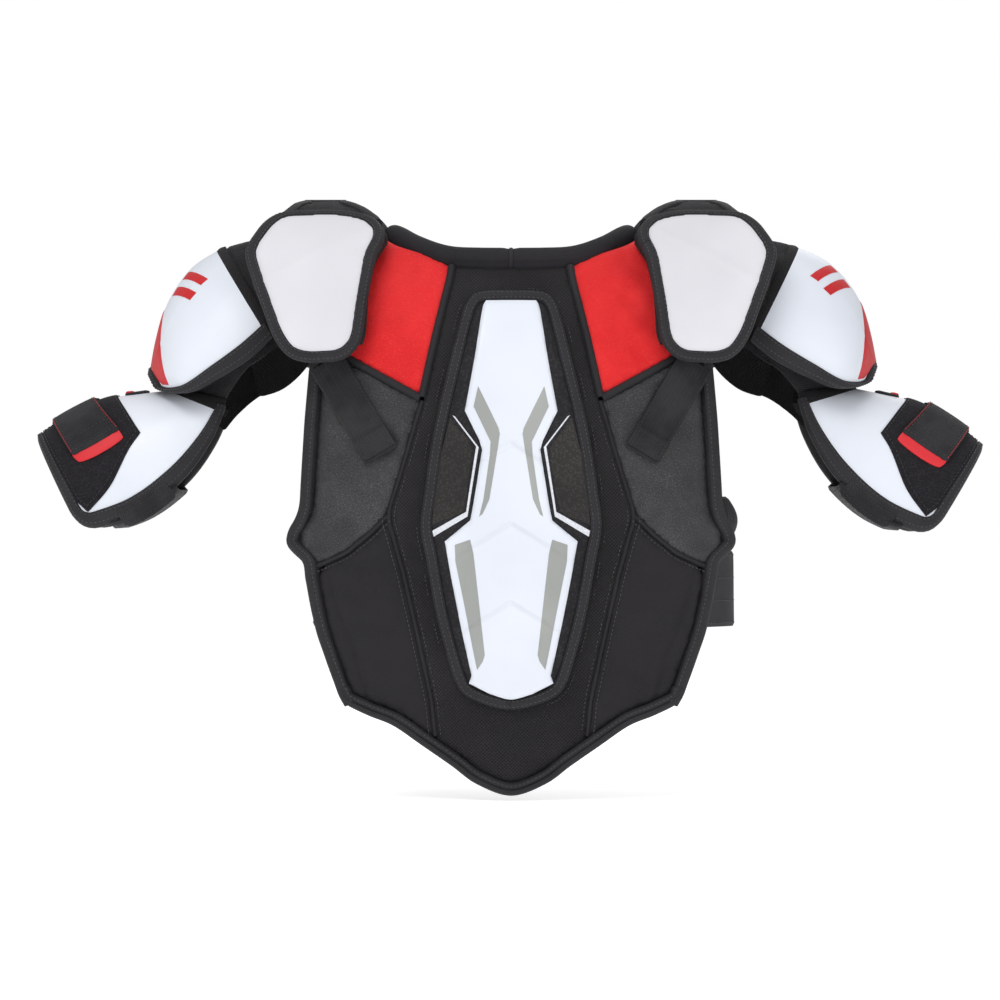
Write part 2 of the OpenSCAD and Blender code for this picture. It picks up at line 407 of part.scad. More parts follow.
back_centre_panel();
blade_panel(-1);  // back_blade_panel_left
blade_panel(1);  // back_blade_panel_right
side_panel(-1);  // back_side_panel_left
side_panel(1);  // back_side_panel_right
rear_yoke(-1);  // rear_yoke_left
rear_yoke(1);  // rear_yoke_right
back_liner();
back_edge_binding();
spine_guard_frame();
spine_guard_plate();
spine_guard_binding();
collar(-1);  // collar_left
collar(1);  // collar_right
rear_webbing();
shoulder_bridge(-1);  // shoulder_bridge_left
shoulder_bridge(1);  // shoulder_bridge_right
chest_panel();
chest_liner();
chest_edge_binding();
sternum_plate();
chest_plates();
chest_loop_patches();
side_elastics();
wing_pad(-1);  // wing_pad_left
wing_pad(1);  // wing_pad_right
wing_plate(-1, false);  // wing_rear_plate_left
wing_plate(1, false);  // wing_rear_plate_right
wing_plate(-1, true);  // wing_front_plate_left
wing_plate(1, true);  // wing_front_plate_right
wing_binding(-1);  // wing_binding_left
wing_binding(1);  // wing_binding_right
cup_shell(-1);  // cup_shell_left
cup_shell(1);  // cup_shell_right
cup_liner(-1);  // cup_liner_left
cup_liner(1);  // cup_liner_right
cup_binding(-1);  // cup_binding_left
cup_binding(1);  // cup_binding_right
cup_top_fabric(-1);  // cup_top_fabric_left
cup_top_fabric(1);  // cup_top_fabric_right
arm_sleeve(-1);  // arm_sleeve_left
arm_sleeve(1);  // arm_sleeve_right
guard_shell(-1);  // guard_shell_left
guard_shell(1);  // guard_shell_right
guard_liner(-1);  // guard_liner_left
guard_liner(1);  // guard_liner_right
guard_binding(-1);  // guard_binding_left
guard_binding(1);  // guard_binding_right
guard_loop_panel(-1);  // guard_loop_panel_left
guard_loop_panel(1);  // guard_loop_panel_right
arm_strap(-1);  // arm_strap_left
arm_strap(1);  // arm_strap_right
strap_hook_tab(-1);  // strap_hook_tab_left
strap_hook_tab(1);  // strap_hook_tab_right
strap_pull_tab(-1);  // strap_pull_tab_left
strap_pull_tab(1);  // strap_pull_tab_right
cup_link_strap(-1);  // cup_link_strap_left
cup_link_strap(1);  // cup_link_strap_right
belly_strap(-1);  // belly_strap_left
belly_strap(1);  // belly_strap_right
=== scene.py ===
import bpy
import bmesh
import math
import numpy as np
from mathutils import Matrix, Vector, geometry


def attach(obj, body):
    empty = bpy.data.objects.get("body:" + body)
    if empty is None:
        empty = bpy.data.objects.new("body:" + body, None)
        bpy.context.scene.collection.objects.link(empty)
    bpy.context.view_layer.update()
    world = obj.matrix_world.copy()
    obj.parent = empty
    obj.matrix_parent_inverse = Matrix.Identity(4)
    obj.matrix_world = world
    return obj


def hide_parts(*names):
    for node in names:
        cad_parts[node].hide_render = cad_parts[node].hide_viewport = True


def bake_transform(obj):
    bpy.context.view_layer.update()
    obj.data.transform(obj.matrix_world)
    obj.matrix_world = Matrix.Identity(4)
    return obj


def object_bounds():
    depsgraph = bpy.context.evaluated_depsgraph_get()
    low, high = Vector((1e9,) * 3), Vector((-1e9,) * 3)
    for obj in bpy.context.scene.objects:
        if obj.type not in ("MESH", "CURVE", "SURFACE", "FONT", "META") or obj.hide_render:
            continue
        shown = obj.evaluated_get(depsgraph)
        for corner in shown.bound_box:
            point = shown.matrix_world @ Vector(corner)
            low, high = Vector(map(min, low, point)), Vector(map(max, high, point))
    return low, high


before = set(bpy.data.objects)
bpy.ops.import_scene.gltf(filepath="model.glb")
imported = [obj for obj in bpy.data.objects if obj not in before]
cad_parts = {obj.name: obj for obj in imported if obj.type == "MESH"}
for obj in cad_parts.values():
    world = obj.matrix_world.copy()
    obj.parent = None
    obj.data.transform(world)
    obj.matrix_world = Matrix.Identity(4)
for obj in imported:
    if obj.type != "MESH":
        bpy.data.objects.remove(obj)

CAD_LO, CAD_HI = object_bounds()
MM = 0.001
TORSO = "torso_vest"
SIDES = ((1, "right"), (-1, "left"))


# ------------------------------------------------------------------ curves and tables
def interp(z, T):
    T = np.asarray(T, float)
    T = T[np.argsort(T[:, 0])]
    return np.interp(z, T[:, 0], T[:, 1])


def curve(P, s):
    P = np.asarray(P, float)
    flat = P.ndim == 1
    if flat:
        P = P[:, None]
    s = np.asarray(s, float)
    n = len(P) - 1
    f = np.minimum(np.clip(s, 0, 1) * n, n - 1e-6)
    i = np.floor(f).astype(int)
    t = (f - i)[..., None]
    a, b = P[np.maximum(i - 1, 0)], P[i]
    c, d = P[i + 1], P[np.minimum(i + 2, n)]
    r = 0.5 * (2 * b + (c - a) * t + (2 * a - 5 * b + 4 * c - d) * t * t + (3 * b - a - 3 * c + d) * t ** 3)
    return r[..., 0] if flat else r


def unit(v):
    return v / np.maximum(np.linalg.norm(v, axis=-1, keepdims=True), 1e-12)


def surface(raw, flip=1, ea=0.5, eb=0.5):
    """A map from (a, b) on the surface and height d above it to points, in mm."""
    def S(a, b, d=0.0):
        a, b = np.broadcast_arrays(np.asarray(a, float), np.asarray(b, float))
        da = raw(a + ea, b) - raw(a - ea, b)
        db = raw(a, b + eb) - raw(a, b - eb)
        n = unit(np.cross(da, db)) * flip
        return raw(a, b) + n * np.broadcast_to(np.asarray(d, float), a.shape)[..., None]
    return S


def stack(*c):
    return np.stack(np.broadcast_arrays(*[np.asarray(x, float) for x in c]), axis=-1)


def round_side(x):
    return (1 - (np.minimum(np.abs(x), 196) / 200) ** 3) ** 0.6


BACK = [82, 90, 96, 100, 103, 106, 108, 110, 112, 113, 112, 108, 101, 89, 71, 44, 8]
CHEST = [84, 90, 96, 100, 96, 102, 107, 111, 114, 116, 116, 113, 103, 86, 62, 30, -8]
S_back = surface(lambda x, z: stack(x, -curve(BACK, (z + 240) / 480) * round_side(x), z))
S_chest = surface(lambda x, z: stack(x, curve(CHEST, (z + 240) / 480) * round_side(x), z), flip=-1)

# shoulder wing: b runs over the arch in mm, 0 at the rear lower edge
_wa = np.linspace(0, 180, 721)


def wing_profile(x, a):
    bow = 1 - 0.12 * (np.maximum(x - 120, 0) / 90) ** 2
    s = np.sin(np.radians(a))
    return stack(x, -106 * bow * np.cos(np.radians(a)), 100 + 134 * np.sign(s) * np.abs(s) ** (2 / 2.2))


_wp = wing_profile(np.full_like(_wa, 140.0), _wa)
_wb = np.concatenate([[0], np.cumsum(np.linalg.norm(np.diff(_wp, axis=0), axis=1))])
WB = float(_wb[-1])
S_wing = surface(lambda x, b: wing_profile(x, np.interp(b, _wb, _wa) + np.where(b < 0, b * 0.4, 0) + np.where(b > WB, (b - WB) * 0.4, 0)), ea=1, eb=1)


def wing_b(z):
    a = np.degrees(np.arcsin(np.clip((np.asarray(z, float) - 100) / 134, 0, 1) ** 1.1))
    return np.interp(a, _wa, _wb)


def arch(A, ul, vl):
    """Arch over the arm: a = u * ul along the arm, b = v * vl over it, from behind to the front."""
    def raw(a, b):
        u, v = a / ul, b / vl
        uc = np.clip(u, 0, 1)
        C, B, F, W = (curve(T, uc) for T in A)
        ex = (u - uc)[..., None] * ul
        dC = unit(curve(A[0], np.clip(uc + 0.02, 0, 1)) - curve(A[0], np.clip(uc - 0.02, 0, 1)))
        dL = unit(curve(A[1], np.clip(uc + 0.02, 0, 1)) - curve(A[1], np.clip(uc - 0.02, 0, 1)))
        C, B, F = C + dC * ex, B + dL * ex, F + dL * ex
        ang = np.pi * v
        L = np.where((ang < np.pi / 2)[..., None], B, F)
        q = L + (C - L) * np.sin(ang)[..., None]
        return stack(q[..., 0], -W * np.cos(ang), q[..., 1])
    return surface(raw, ea=ul * 0.004, eb=vl * 0.006)


CUP = [[[222, 197], [246, 182], [265, 156], [276, 127], [283, 100]],
       [[182, 124], [201, 107], [226, 93], [251, 83], [277, 88]],
       [[182, 124], [201, 107], [226, 93], [251, 83], [277, 88]], [64, 68, 67, 59, 20]]
GUARD = [[[262, 87], [290, 82], [318, 76], [345, 62], [369, 45]],
         [[222, 78], [233, 49], [254, 18], [286, -9], [329, -25]],
         [[222, 78], [233, 49], [254, 18], [286, -9], [329, -25]], [40, 47, 53, 55, 54]]
TOPF = [[[150, 206], [172, 205], [193, 204], [208, 201], [223, 197]],
        [[146, 150], [156, 142], [166, 134], [175, 128], [183, 123.5]],
        [[146, 150], [156, 142], [166, 134], [175, 128], [183, 123.5]], [60, 62, 63, 63.5, 63.5]]
SLEEVE_A = [[[150, 190], [168, 184], [184, 178], [202, 170], [220, 156]],
            [[152, 138], [170, 126], [180, 119], [190, 112], [203, 103]],
            [[150, 120], [162, 104], [173, 93], [184, 86], [200, 81]], [47, 50, 51, 51, 48]]
SLEEVE_B = [[[214, 160], [224, 148], [236, 130], [248, 108], [262, 82]],
            [[199, 106], [207, 100], [216, 90], [224, 78], [232, 60]],
            [[196, 84], [204, 80], [212, 74], [220, 66], [230, 54]], [56, 53, 47, 39, 35]]
CUP_UL, CUP_VL = 112.0, 212.0
GU_UL, GU_VL = 134.0, 188.0
S_cup, S_guard = arch(CUP, CUP_UL, CUP_VL), arch(GUARD, GU_UL, GU_VL)
S_topf = arch(TOPF, 62.0, 200.0)
S_sleeve_a, S_sleeve_b = arch(SLEEVE_A, 80.0, 170.0), arch(SLEEVE_B, 90.0, 150.0)

CUP_PIVOT, GUARD_PIVOT = (215, 131), (250, 95)
CUP_ANGLE, GUARD_ANGLE = {1: 2.5, -1: -2.5}, {1: -5.0, -1: 5.0}


def turn(V, pivot, deg):
    c, s = math.cos(math.radians(deg)), math.sin(math.radians(deg))
    x, z = V[..., 0] - pivot[0], V[..., 2] - pivot[1]
    W = V.copy()
    W[..., 0], W[..., 2] = pivot[0] + x * c - z * s, pivot[1] + x * s + z * c
    return W


def place(V, side, kind):
    """Points built on the right side in the middle pose, moved to their side and resting pose."""
    if kind == "guard":
        V = turn(V, GUARD_PIVOT, GUARD_ANGLE[side])
    if kind in ("cup", "guard"):
        V = turn(V, CUP_PIVOT, CUP_ANGLE[side])
    if side < 0:
        V = V * np.array([-1, 1, 1])
    return V


# ------------------------------------------------------------------ outlines
def smooth(pts, corners=(), step=2.5, closed=True):
    """A smooth even line through points; the corners (by index) stay sharp."""
    pts = np.asarray(pts, float)
    n = len(pts)
    if closed:
        if corners:
            k0 = sorted(corners)[0]
            pts = np.roll(pts, -k0, axis=0)
            corners = sorted((c - k0) % n for c in corners) + [n]
            pts = np.vstack([pts, pts[:1]])
        else:
            P = np.vstack([pts[-1:], pts, pts[:2]])
            return _resample(_cat(P), step)[:-1]
    else:
        corners = sorted(set([0, n - 1]) | set(corners))
    out = []
    for a, b in zip(corners[:-1], corners[1:]):
        seg = pts[a:b + 1]
        P = np.vstack([2 * seg[0] - seg[1], seg, 2 * seg[-1] - seg[-2]])
        r = _resample(_cat(P), step)
        out.append(r if (b == corners[-1] and not closed) else r[:-1])
    return np.vstack(out)


def _cat(P, k=16):
    out = []
    for i in range(1, len(P) - 2):
        t = np.linspace(0, 1, k, endpoint=False)[:, None]
        a, b, c, d = P[i - 1], P[i], P[i + 1], P[i + 2]
        out.append(0.5 * (2 * b + (c - a) * t + (2 * a - 5 * b + 4 * c - d) * t * t + (3 * b - a - 3 * c + d) * t ** 3))
    out.append(P[-2][None])
    return np.vstack(out)


def _resample(P, step):
    L = np.concatenate([[0], np.cumsum(np.linalg.norm(np.diff(P, axis=0), axis=1))])
    n = max(2, int(round(L[-1] / step)) + 1)
    s = np.linspace(0, L[-1], n)
    return np.stack([np.interp(s, L, P[:, k]) for k in range(P.shape[1])], axis=1)


def mirror_half(R):
    """Closed outline from its right half, listed from the bottom middle to the top middle."""
    R = [tuple(p) for p in R]
    return R + [(-x, z) for x, z in reversed(R) if abs(x) > 1e-6]


def normals2(P, closed):
    if closed:
        t = np.roll(P, -1, axis=0) - np.roll(P, 1, axis=0)
    else:
        t = np.gradient(P, axis=0)
    t = unit(t)
    return np.stack([t[:, 1], -t[:, 0]], axis=1)


def shift(P, w, closed=True):
    """Line moved outwards by w (outwards is to the right of the way it runs)."""
    return P + normals2(P, closed) * w


def dist_to(pts, line, closed=True):
    A = line
    B = np.roll(line, -1, axis=0) if closed else line[1:]
    A = A if closed else line[:-1]
    best = np.full(len(pts), 1e9)
    for k in range(0, len(A), 64):
        a, b = A[k:k + 64][None], B[k:k + 64][None]
        ab = b - a
        t = np.clip(((pts[:, None] - a) * ab).sum(-1) / np.maximum((ab ** 2).sum(-1), 1e-12), 0, 1)
        best = np.minimum(best, np.linalg.norm(pts[:, None] - (a + ab * t[..., None]), axis=-1).min(1))
    return best


def inside(pts, poly):
    x, y = pts[:, 0][:, None], pts[:, 1][:, None]
    x1, y1 = poly[:, 0][None], poly[:, 1][None]
    x2, y2 = np.roll(poly[:, 0], -1)[None], np.roll(poly[:, 1], -1)[None]
    c = ((y1 > y) != (y2 > y)) & (x < (x2 - x1) * (y - y1) / (y2 - y1 + 1e-12) + x1)
    return c.sum(1) % 2 == 1


def fill(outline, step, lines=()):
    """Triangles over an outline, with an even grid of points inside and rows of points along the lines."""
    lo, hi = outline.min(0), outline.max(0)
    xs = np.arange(lo[0], hi[0] + step, step)
    ys = np.arange(lo[1], hi[1] + step, step * 0.866)
    g = np.array([(x + (step / 2 if j % 2 else 0), y) for j, y in enumerate(ys) for x in xs])
    g = g[inside(g, outline)]
    g = g[dist_to(g, outline) > step * 0.5]
    for line, wid in lines:
        line = _resample(np.asarray(line, float), 2.4)
        g = g[dist_to(g, line, closed=False) > wid * 1.9]
        for o in (0, -0.65, 0.65, -1.4, 1.4):
            q = shift(line, o * wid, closed=False)
            q = q[inside(q, outline)]
            if len(q):
                q = q[dist_to(q, outline) > step * 0.45]
            if len(q) and len(g):
                d_ = np.array([np.min(np.linalg.norm(g - p, axis=1)) for p in q])
                q = q[d_ > 1.0]
            g = np.vstack([g, q])
    pts = np.vstack([outline, g])
    n = len(outline)
    r = geometry.delaunay_2d_cdt([Vector(p) for p in pts], [], [list(range(n))], 1, 1e-4)
    P = np.array([[v.x, v.y] for v in r[0]])
    F = np.array([list(f) for f in r[2]])
    # the outline's own points, in order
    src = {}
    for new, olds in enumerate(r[3]):
        for o in olds:
            src[o] = new
    ring = [src[i] for i in range(n)]
    return P, F, ring


def wob(P, amp, wave, seed=0):
    """Slow unevenness of sewn padding."""
    rng = np.random.RandomState(seed)
    h = np.zeros(len(P))
    for k in range(6):
        a, ph = rng.uniform(0, np.pi), rng.uniform(0, 2 * np.pi)
        w = wave * rng.uniform(0.6, 1.5)
        h += np.sin((P[:, 0] * math.cos(a) + P[:, 1] * math.sin(a)) * 2 * np.pi / w + ph)
    return h / 3.5 * amp


# ------------------------------------------------------------------ solid builders, each gives (V, F, UV)
def pad(S, outline, top, bottom, step=5.0, rnd=7.0, drop=3.0, grooves=(), extra=None, wobble=(0, 40, 0), under=0.0, sim=None):
    """A padded panel: top surface crowned, edges pulled in, closed underneath."""
    P, F, ring = fill(outline, step, [(l, w_) for l, w_, _d in grooves])
    d = dist_to(P, outline)
    k = 1 - np.clip(d / rnd, 0, 1)
    h = top - drop * (1 - np.sqrt(np.maximum(1 - k * k, 0)))
    free = np.clip(d / rnd, 0, 1)
    if wobble[0]:
        h += wob(P, wobble[0], wobble[1], wobble[2]) * free
    if extra is not None:
        h += extra(P) * free
    if sim is not None:
        h = sim(S, P, F, ring, h, d)
    for line, wid, dep in grooves:
        line = np.asarray(line, float)
        h = h - dep * np.exp(-(dist_to(P, line, closed=False) / wid) ** 2) * np.clip(d / 3, 0, 1)
    Vt = S(P[:, 0], P[:, 1], h)
    hb = bottom + under * (1 - np.sqrt(np.maximum(1 - k * k, 0)))
    Vb = S(P[:, 0], P[:, 1], hb)
    n = len(P)
    faces = [tuple(f) for f in F] + [tuple(n + i for i in f[::-1]) for f in F]
    m = len(ring)
    faces += [(ring[(i + 1) % m], ring[i], n + ring[i], n + ring[(i + 1) % m]) for i in range(m)]
    UV = np.vstack([P, P]) * MM
    return np.vstack([Vt, Vb]), faces, UV


def sweep(S, path, prof, closed=True, corner_pull=None):
    """A cross section of (offset outwards, height) carried along a line on a surface."""
    prof = np.asarray(prof, float)
    N = normals2(path, closed)
    Q = path[:, None, :] + N[:, None, :] * prof[None, :, :1]
    V = S(Q[..., 0], Q[..., 1], np.broadcast_to(prof[None, :, 1], Q.shape[:2]))
    return loft(V, closed, np.concatenate([[0], np.cumsum(np.linalg.norm(np.diff(path, axis=0), axis=1))]))


def loft(R, closed=False, L=None):
    """Rings of points joined into a solid, with flat ends if it is open."""
    m, n = R.shape[:2]
    F = []
    for i in range(m if closed else m - 1):
        i2 = (i + 1) % m
        for j in range(n):
            j2 = (j + 1) % n
            F.append((i * n + j, i * n + j2, i2 * n + j2, i2 * n + j))
    if not closed:
        F.append(tuple(range(n))[::-1])
        F.append(tuple((m - 1) * n + j for j in range(n)))
    if L is None:
        c = R.mean(1)
        L = np.concatenate([[0], np.cumsum(np.linalg.norm(np.diff(c, axis=0), axis=1))])
    per = np.concatenate([[0], np.cumsum(np.linalg.norm(np.diff(R[m // 2], axis=0), axis=1))])
    UV = np.stack(np.meshgrid(L[:m], per, indexing="ij"), axis=-1).reshape(-1, 2) * MM
    return R.reshape(-1, 3), F, UV


def tape_profile(w, top, bot, out=1.6, crown=1.1, ridges=1):
    """Binding tape folded round an edge: w wide on top, from bot to top, rounded outside."""
    p = [(-w, top - 0.6)]
    if ridges == 1:
        p += [(-w + 0.4, top + 0.25), (-w * 0.75, top + crown * 0.75), (-w * 0.45, top + crown), (-w * 0.15, top + crown * 0.7)]
    else:
        p += [(-w + 0.4, top + 0.4), (-w * 0.82, top + crown), (-w * 0.62, top + crown), (-w * 0.5, top + 0.1),
              (-w * 0.38, top + crown * 1.1), (-w * 0.12, top + crown)]
    mid, r = (top + bot) / 2, (top - bot) / 2
    for k in range(1, 8):
        a = math.pi / 2 - math.pi * k / 8
        p.append((out * math.cos(a) * 1.0, mid + r * math.sin(a)))
    p += [(-w * 0.15, bot - 0.3), (-w * 0.6, bot - 0.4), (-w, bot + 0.2)]
    return p


def flat_profile(w, d0, t, r=None):
    """Strap cross section, w wide, from height d0 to d0 + t, with rounded edges and a slight crown."""
    r = t / 2 if r is None else r
    p = []
    for c, s0 in ((w / 2 - r, -1), (-w / 2 + r, 1)):
        for k in range(5):
            a = (-math.pi / 2 + math.pi * k / 4) if s0 < 0 else (math.pi / 2 + math.pi * k / 4)
            p.append((c + r * math.cos(a), d0 + t / 2 + t / 2 * math.sin(a)))
        if s0 < 0:
            for q in (0.6, 0.3, 0.0, -0.3, -0.6):
                p.append((q * (w / 2 - r), d0 + t))
    return p


def stitches(S, path, d, off=0.0, closed=True, pitch=3.4, length=2.3, r=0.38):
    """A row of thread stitches lying on a surface at height d."""
    P = shift(np.asarray(path, float), off, closed) if off else np.asarray(path, float)
    if closed:
        P = np.vstack([P, P[:1]])
    V3 = S(P[:, 0], P[:, 1], d)
    Vn = unit(S(P[:, 0], P[:, 1], np.asarray(d) + 1.0) - V3)
    L = np.concatenate([[0], np.cumsum(np.linalg.norm(np.diff(V3, axis=0), axis=1))])
    n = int(L[-1] / pitch)
    if n < 1:
        return None
    s = (np.arange(n) + 0.5) * L[-1] / n
    at = lambda x, A: np.stack([np.interp(x, L, A[:, k]) for k in range(3)], axis=1)
    a, b = at(s - length / 2, V3), at(s + length / 2, V3)
    return threads(a, b, unit(at(s, Vn)), r)


def threads(a, b, nrm, r):
    """Short rounded threads from a to b."""
    n = len(a)
    t = unit(b - a)
    side = np.cross(t, nrm)
    ang = np.arange(5) * 2 * np.pi / 5 + math.pi / 2
    circ = np.cos(ang)[None, :, None] * side[:, None] + np.sin(ang)[None, :, None] * nrm[:, None]
    rings = []
    for f, rr, up in ((0.12, 0.75, 0.0), (0.5, 1.0, 0.25), (0.88, 0.75, 0.0)):
        c = a + (b - a) * f + nrm * (r * up)
        rings.append(c[:, None] + circ * r * rr)
    tip0, tip1 = a - nrm * r * 0.7, b - nrm * r * 0.7
    V = np.concatenate([tip0[:, None], *rings, tip1[:, None]], axis=1)
    k = V.shape[1]
    F0 = [(0, 1 + (j + 1) % 5, 1 + j) for j in range(5)]
    F0 += [(1 + q * 5 + j, 1 + q * 5 + (j + 1) % 5, 6 + q * 5 + (j + 1) % 5, 6 + q * 5 + j) for q in range(2) for j in range(5)]
    F0 += [(16, 11 + j, 11 + (j + 1) % 5) for j in range(5)]
    F = [tuple(i * k + v for v in f) for i in range(n) for f in F0]
    UV = np.zeros((n * k, 2))
    UV[:, 0] = np.repeat(np.arange(n) * 0.0034, k)
    return V.reshape(-1, 3), F, UV


def join(*parts):
    V, F, UV, o = [], [], [], 0
    for g in parts:
        if g is None:
            continue
        V.append(g[0])
        UV.append(g[2])
        F += [tuple(o + i for i in f) for f in g[1]]
        o += len(g[0])
    return np.vstack(V), F, np.vstack(UV)


def both(g):
    """The same piece on both sides of the body, as one mesh."""
    V, F, UV = g
    return join(g, (V * np.array([-1, 1, 1]), F, UV))


def make(name, g, mat, body, side=1, kind="torso", replaces=(), smooth_angle=50):
    V, F, UV = g
    V = place(np.asarray(V, float), side, kind)
    me = bpy.data.meshes.new(name)
    me.from_pydata((V * MM).tolist(), [], F)
    uv = me.uv_layers.new(name="UVMap")
    idx = np.empty(len(me.loops), dtype=np.int32)
    me.loops.foreach_get("vertex_index", idx)
    uv.data.foreach_set("uv", np.asarray(UV, float)[idx].ravel())
    bm = bmesh.new()
    bm.from_mesh(me)
    bmesh.ops.recalc_face_normals(bm, faces=bm.faces)
    bm.to_mesh(me)
    bm.free()
    me.polygons.foreach_set("use_smooth", [True] * len(me.polygons))
    me.set_sharp_from_angle(angle=math.radians(smooth_angle))
    me.materials.append(mat)
    ob = bpy.data.objects.new(name, me)
    bpy.context.scene.collection.objects.link(ob)
    if isinstance(body, tuple):
        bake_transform(ob)
    else:
        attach(ob, body)
    if replaces:
        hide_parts(*([replaces] if isinstance(replaces, str) else replaces))
    return ob


# ------------------------------------------------------------------ materials
class Mat:
    def __init__(self, name, color, rough=0.8, spec=0.5, sheen=0.0, coat=0.0, coat_rough=0.2, sheen_tint=None):
        self.m = bpy.data.materials.new(name)
        self.m.use_nodes = True
        self.t = self.m.node_tree
        self.b = next(n for n in self.t.nodes if n.type == "BSDF_PRINCIPLED")
        self.b.inputs["Base Color"].default_value = (*srgb(color), 1)
        self.b.inputs["Roughness"].default_value = rough
        self.b.inputs["Specular IOR Level"].default_value = spec
        self.b.inputs["Sheen Weight"].default_value = sheen
        self.b.inputs["Sheen Roughness"].default_value = 0.45
        if sheen_tint is not None:
            self.b.inputs["Sheen Tint"].default_value = (*srgb(sheen_tint), 1)
        self.b.inputs["Coat Weight"].default_value = coat
        self.b.inputs["Coat Roughness"].default_value = coat_rough
        self.m.diffuse_color = (*srgb(color), 1)
        self.uv = self.t.nodes.new("ShaderNodeUVMap")
        self.uv.uv_map = "UVMap"
        self.obj = self.t.nodes.new("ShaderNodeTexCoord")
        self.height = None

    def link(self, a, b):
        self.t.links.new(a, b)

    def math(self, op, a, b=None, c=None, clamp=False):
        n = self.t.nodes.new("ShaderNodeMath")
        n.operation = op
        n.use_clamp = clamp
        for i, v in enumerate((a, b, c)):
            if v is None:
                continue
            if isinstance(v, (int, float)):
                n.inputs[i].default_value = v
            else:
                self.link(v, n.inputs[i])
        return n.outputs[0]

    def axes(self, rot=0.0):
        s = self.t.nodes.new("ShaderNodeSeparateXYZ")
        src = self.uv.outputs[0]
        if rot:
            r = self.t.nodes.new("ShaderNodeVectorRotate")
            r.rotation_type = "Z_AXIS"
            r.inputs["Angle"].default_value = rot
            self.link(src, r.inputs["Vector"])
            src = r.outputs[0]
        self.link(src, s.inputs[0])
        return s.outputs[0], s.outputs[1]

    def noise(self, scale, detail=2.0, rough=0.5, obj=False, dist=0.0):
        n = self.t.nodes.new("ShaderNodeTexNoise")
        n.inputs["Scale"].default_value = scale
        n.inputs["Detail"].default_value = detail
        n.inputs["Roughness"].default_value = rough
        n.inputs["Distortion"].default_value = dist
        self.link(self.obj.outputs["Object"] if obj else self.uv.outputs[0], n.inputs["Vector"])
        return n.outputs["Fac"]

    def voronoi(self, scale, random=1.0, feature="F1", rot=0.0):
        n = self.t.nodes.new("ShaderNodeTexVoronoi")
        n.feature = feature
        n.inputs["Scale"].default_value = scale
        n.inputs["Randomness"].default_value = random
        src = self.uv.outputs[0]
        if rot:
            r = self.t.nodes.new("ShaderNodeVectorRotate")
            r.rotation_type = "Z_AXIS"
            r.inputs["Angle"].default_value = rot
            self.link(src, r.inputs["Vector"])
            src = r.outputs[0]
        self.link(src, n.inputs["Vector"])
        return n.outputs["Distance"]

    def remap(self, v, a, b, c=0.0, d=1.0, smooth=False):
        n = self.t.nodes.new("ShaderNodeMapRange")
        if smooth:
            n.interpolation_type = "SMOOTHSTEP"
        for k, x in zip(("From Min", "From Max", "To Min", "To Max"), (a, b, c, d)):
            n.inputs[k].default_value = x
        self.link(v, n.inputs["Value"])
        return n.outputs["Result"]

    def mix(self, fac, c1, c2):
        n = self.t.nodes.new("ShaderNodeMix")
        n.data_type = "RGBA"
        for sock, c in ((n.inputs[6], c1), (n.inputs[7], c2)):
            if isinstance(c, str):
                sock.default_value = (*srgb(c), 1)
            else:
                self.link(c, sock)
        self.link(fac, n.inputs[0])
        return n.outputs[2]

    def color(self, c):
        self.link(c, self.b.inputs["Base Color"])

    def rough(self, r):
        self.link(r, self.b.inputs["Roughness"])

    def bump(self, h, dist, strength=1.0):
        """Heights, each with its depth in metres, one on another."""
        n = self.t.nodes.new("ShaderNodeBump")
        n.inputs["Distance"].default_value = dist
        n.inputs["Strength"].default_value = strength
        self.link(h, n.inputs["Height"])
        if self.height is not None:
            self.link(self.height, n.inputs["Normal"])
        self.height = n.outputs[0]
        self.link(self.height, self.b.inputs["Normal"])

    def weave(self, pu, pv, rot=0.0):
        """Height of a plain weave with thread pitches pu and pv in metres."""
        u, v = self.axes(rot)
        a = self.math("MULTIPLY", u, 1 / pu)
        b = self.math("MULTIPLY", v, 1 / pv)
        wa = self.math("ABSOLUTE", self.math("SINE", self.math("MULTIPLY", a, math.pi)))
        wb = self.math("ABSOLUTE", self.math("SINE", self.math("MULTIPLY", b, math.pi)))
        chk = self.math("MODULO", self.math("ABSOLUTE", self.math("ADD", self.math("FLOOR", a), self.math("FLOOR", b))), 2.0)
        inv = self.math("SUBTRACT", 1.0, chk)
        return self.math("ADD", self.math("MULTIPLY", wa, chk), self.math("MULTIPLY", wb, inv))

    def ribs(self, pitch, axis=0, rot=0.0):
        q = self.axes(rot)[axis]
        return self.math("ABSOLUTE", self.math("SINE", self.math("MULTIPLY", q, math.pi / pitch)))


def srgb(h):
    v = [int(h[i:i + 2], 16) / 255 for i in (1, 3, 5)]
    return [c / 12.92 if c <= 0.04045 else ((c + 0.055) / 1.055) ** 2.4 for c in v]


def fabric(name, dark, mid, light, pu, pv, rot=0.0, depth=0.0002, rough=0.85, sheen=0.15, cloud=18.0, tint="#9a9aa2", thread=0.55):
    m = Mat(name, mid, rough=rough, spec=0.25, sheen=sheen, sheen_tint=tint)
    w = m.weave(pu, pv, rot)
    big = m.remap(m.noise(cloud, 3.0, 0.6, obj=True), 0.35, 0.65, smooth=True)
    fine = m.noise(1 / max(pu, pv) * 0.45, 1.0, 0.5)
    base = m.mix(big, mid, light)
    base = m.mix(m.remap(w, 0.15, 0.75, thread, 0.0), base, dark)
    base = m.mix(m.remap(fine, 0.35, 0.75, 0.0, 0.35), base, light)
    m.color(base)
    m.rough(m.remap(big, 0, 1, rough - 0.06, rough + 0.05))
    m.bump(m.noise(260.0, 2.0, 0.5), 0.0003, 0.5)
    m.bump(w, depth, 0.9)
    return m.m


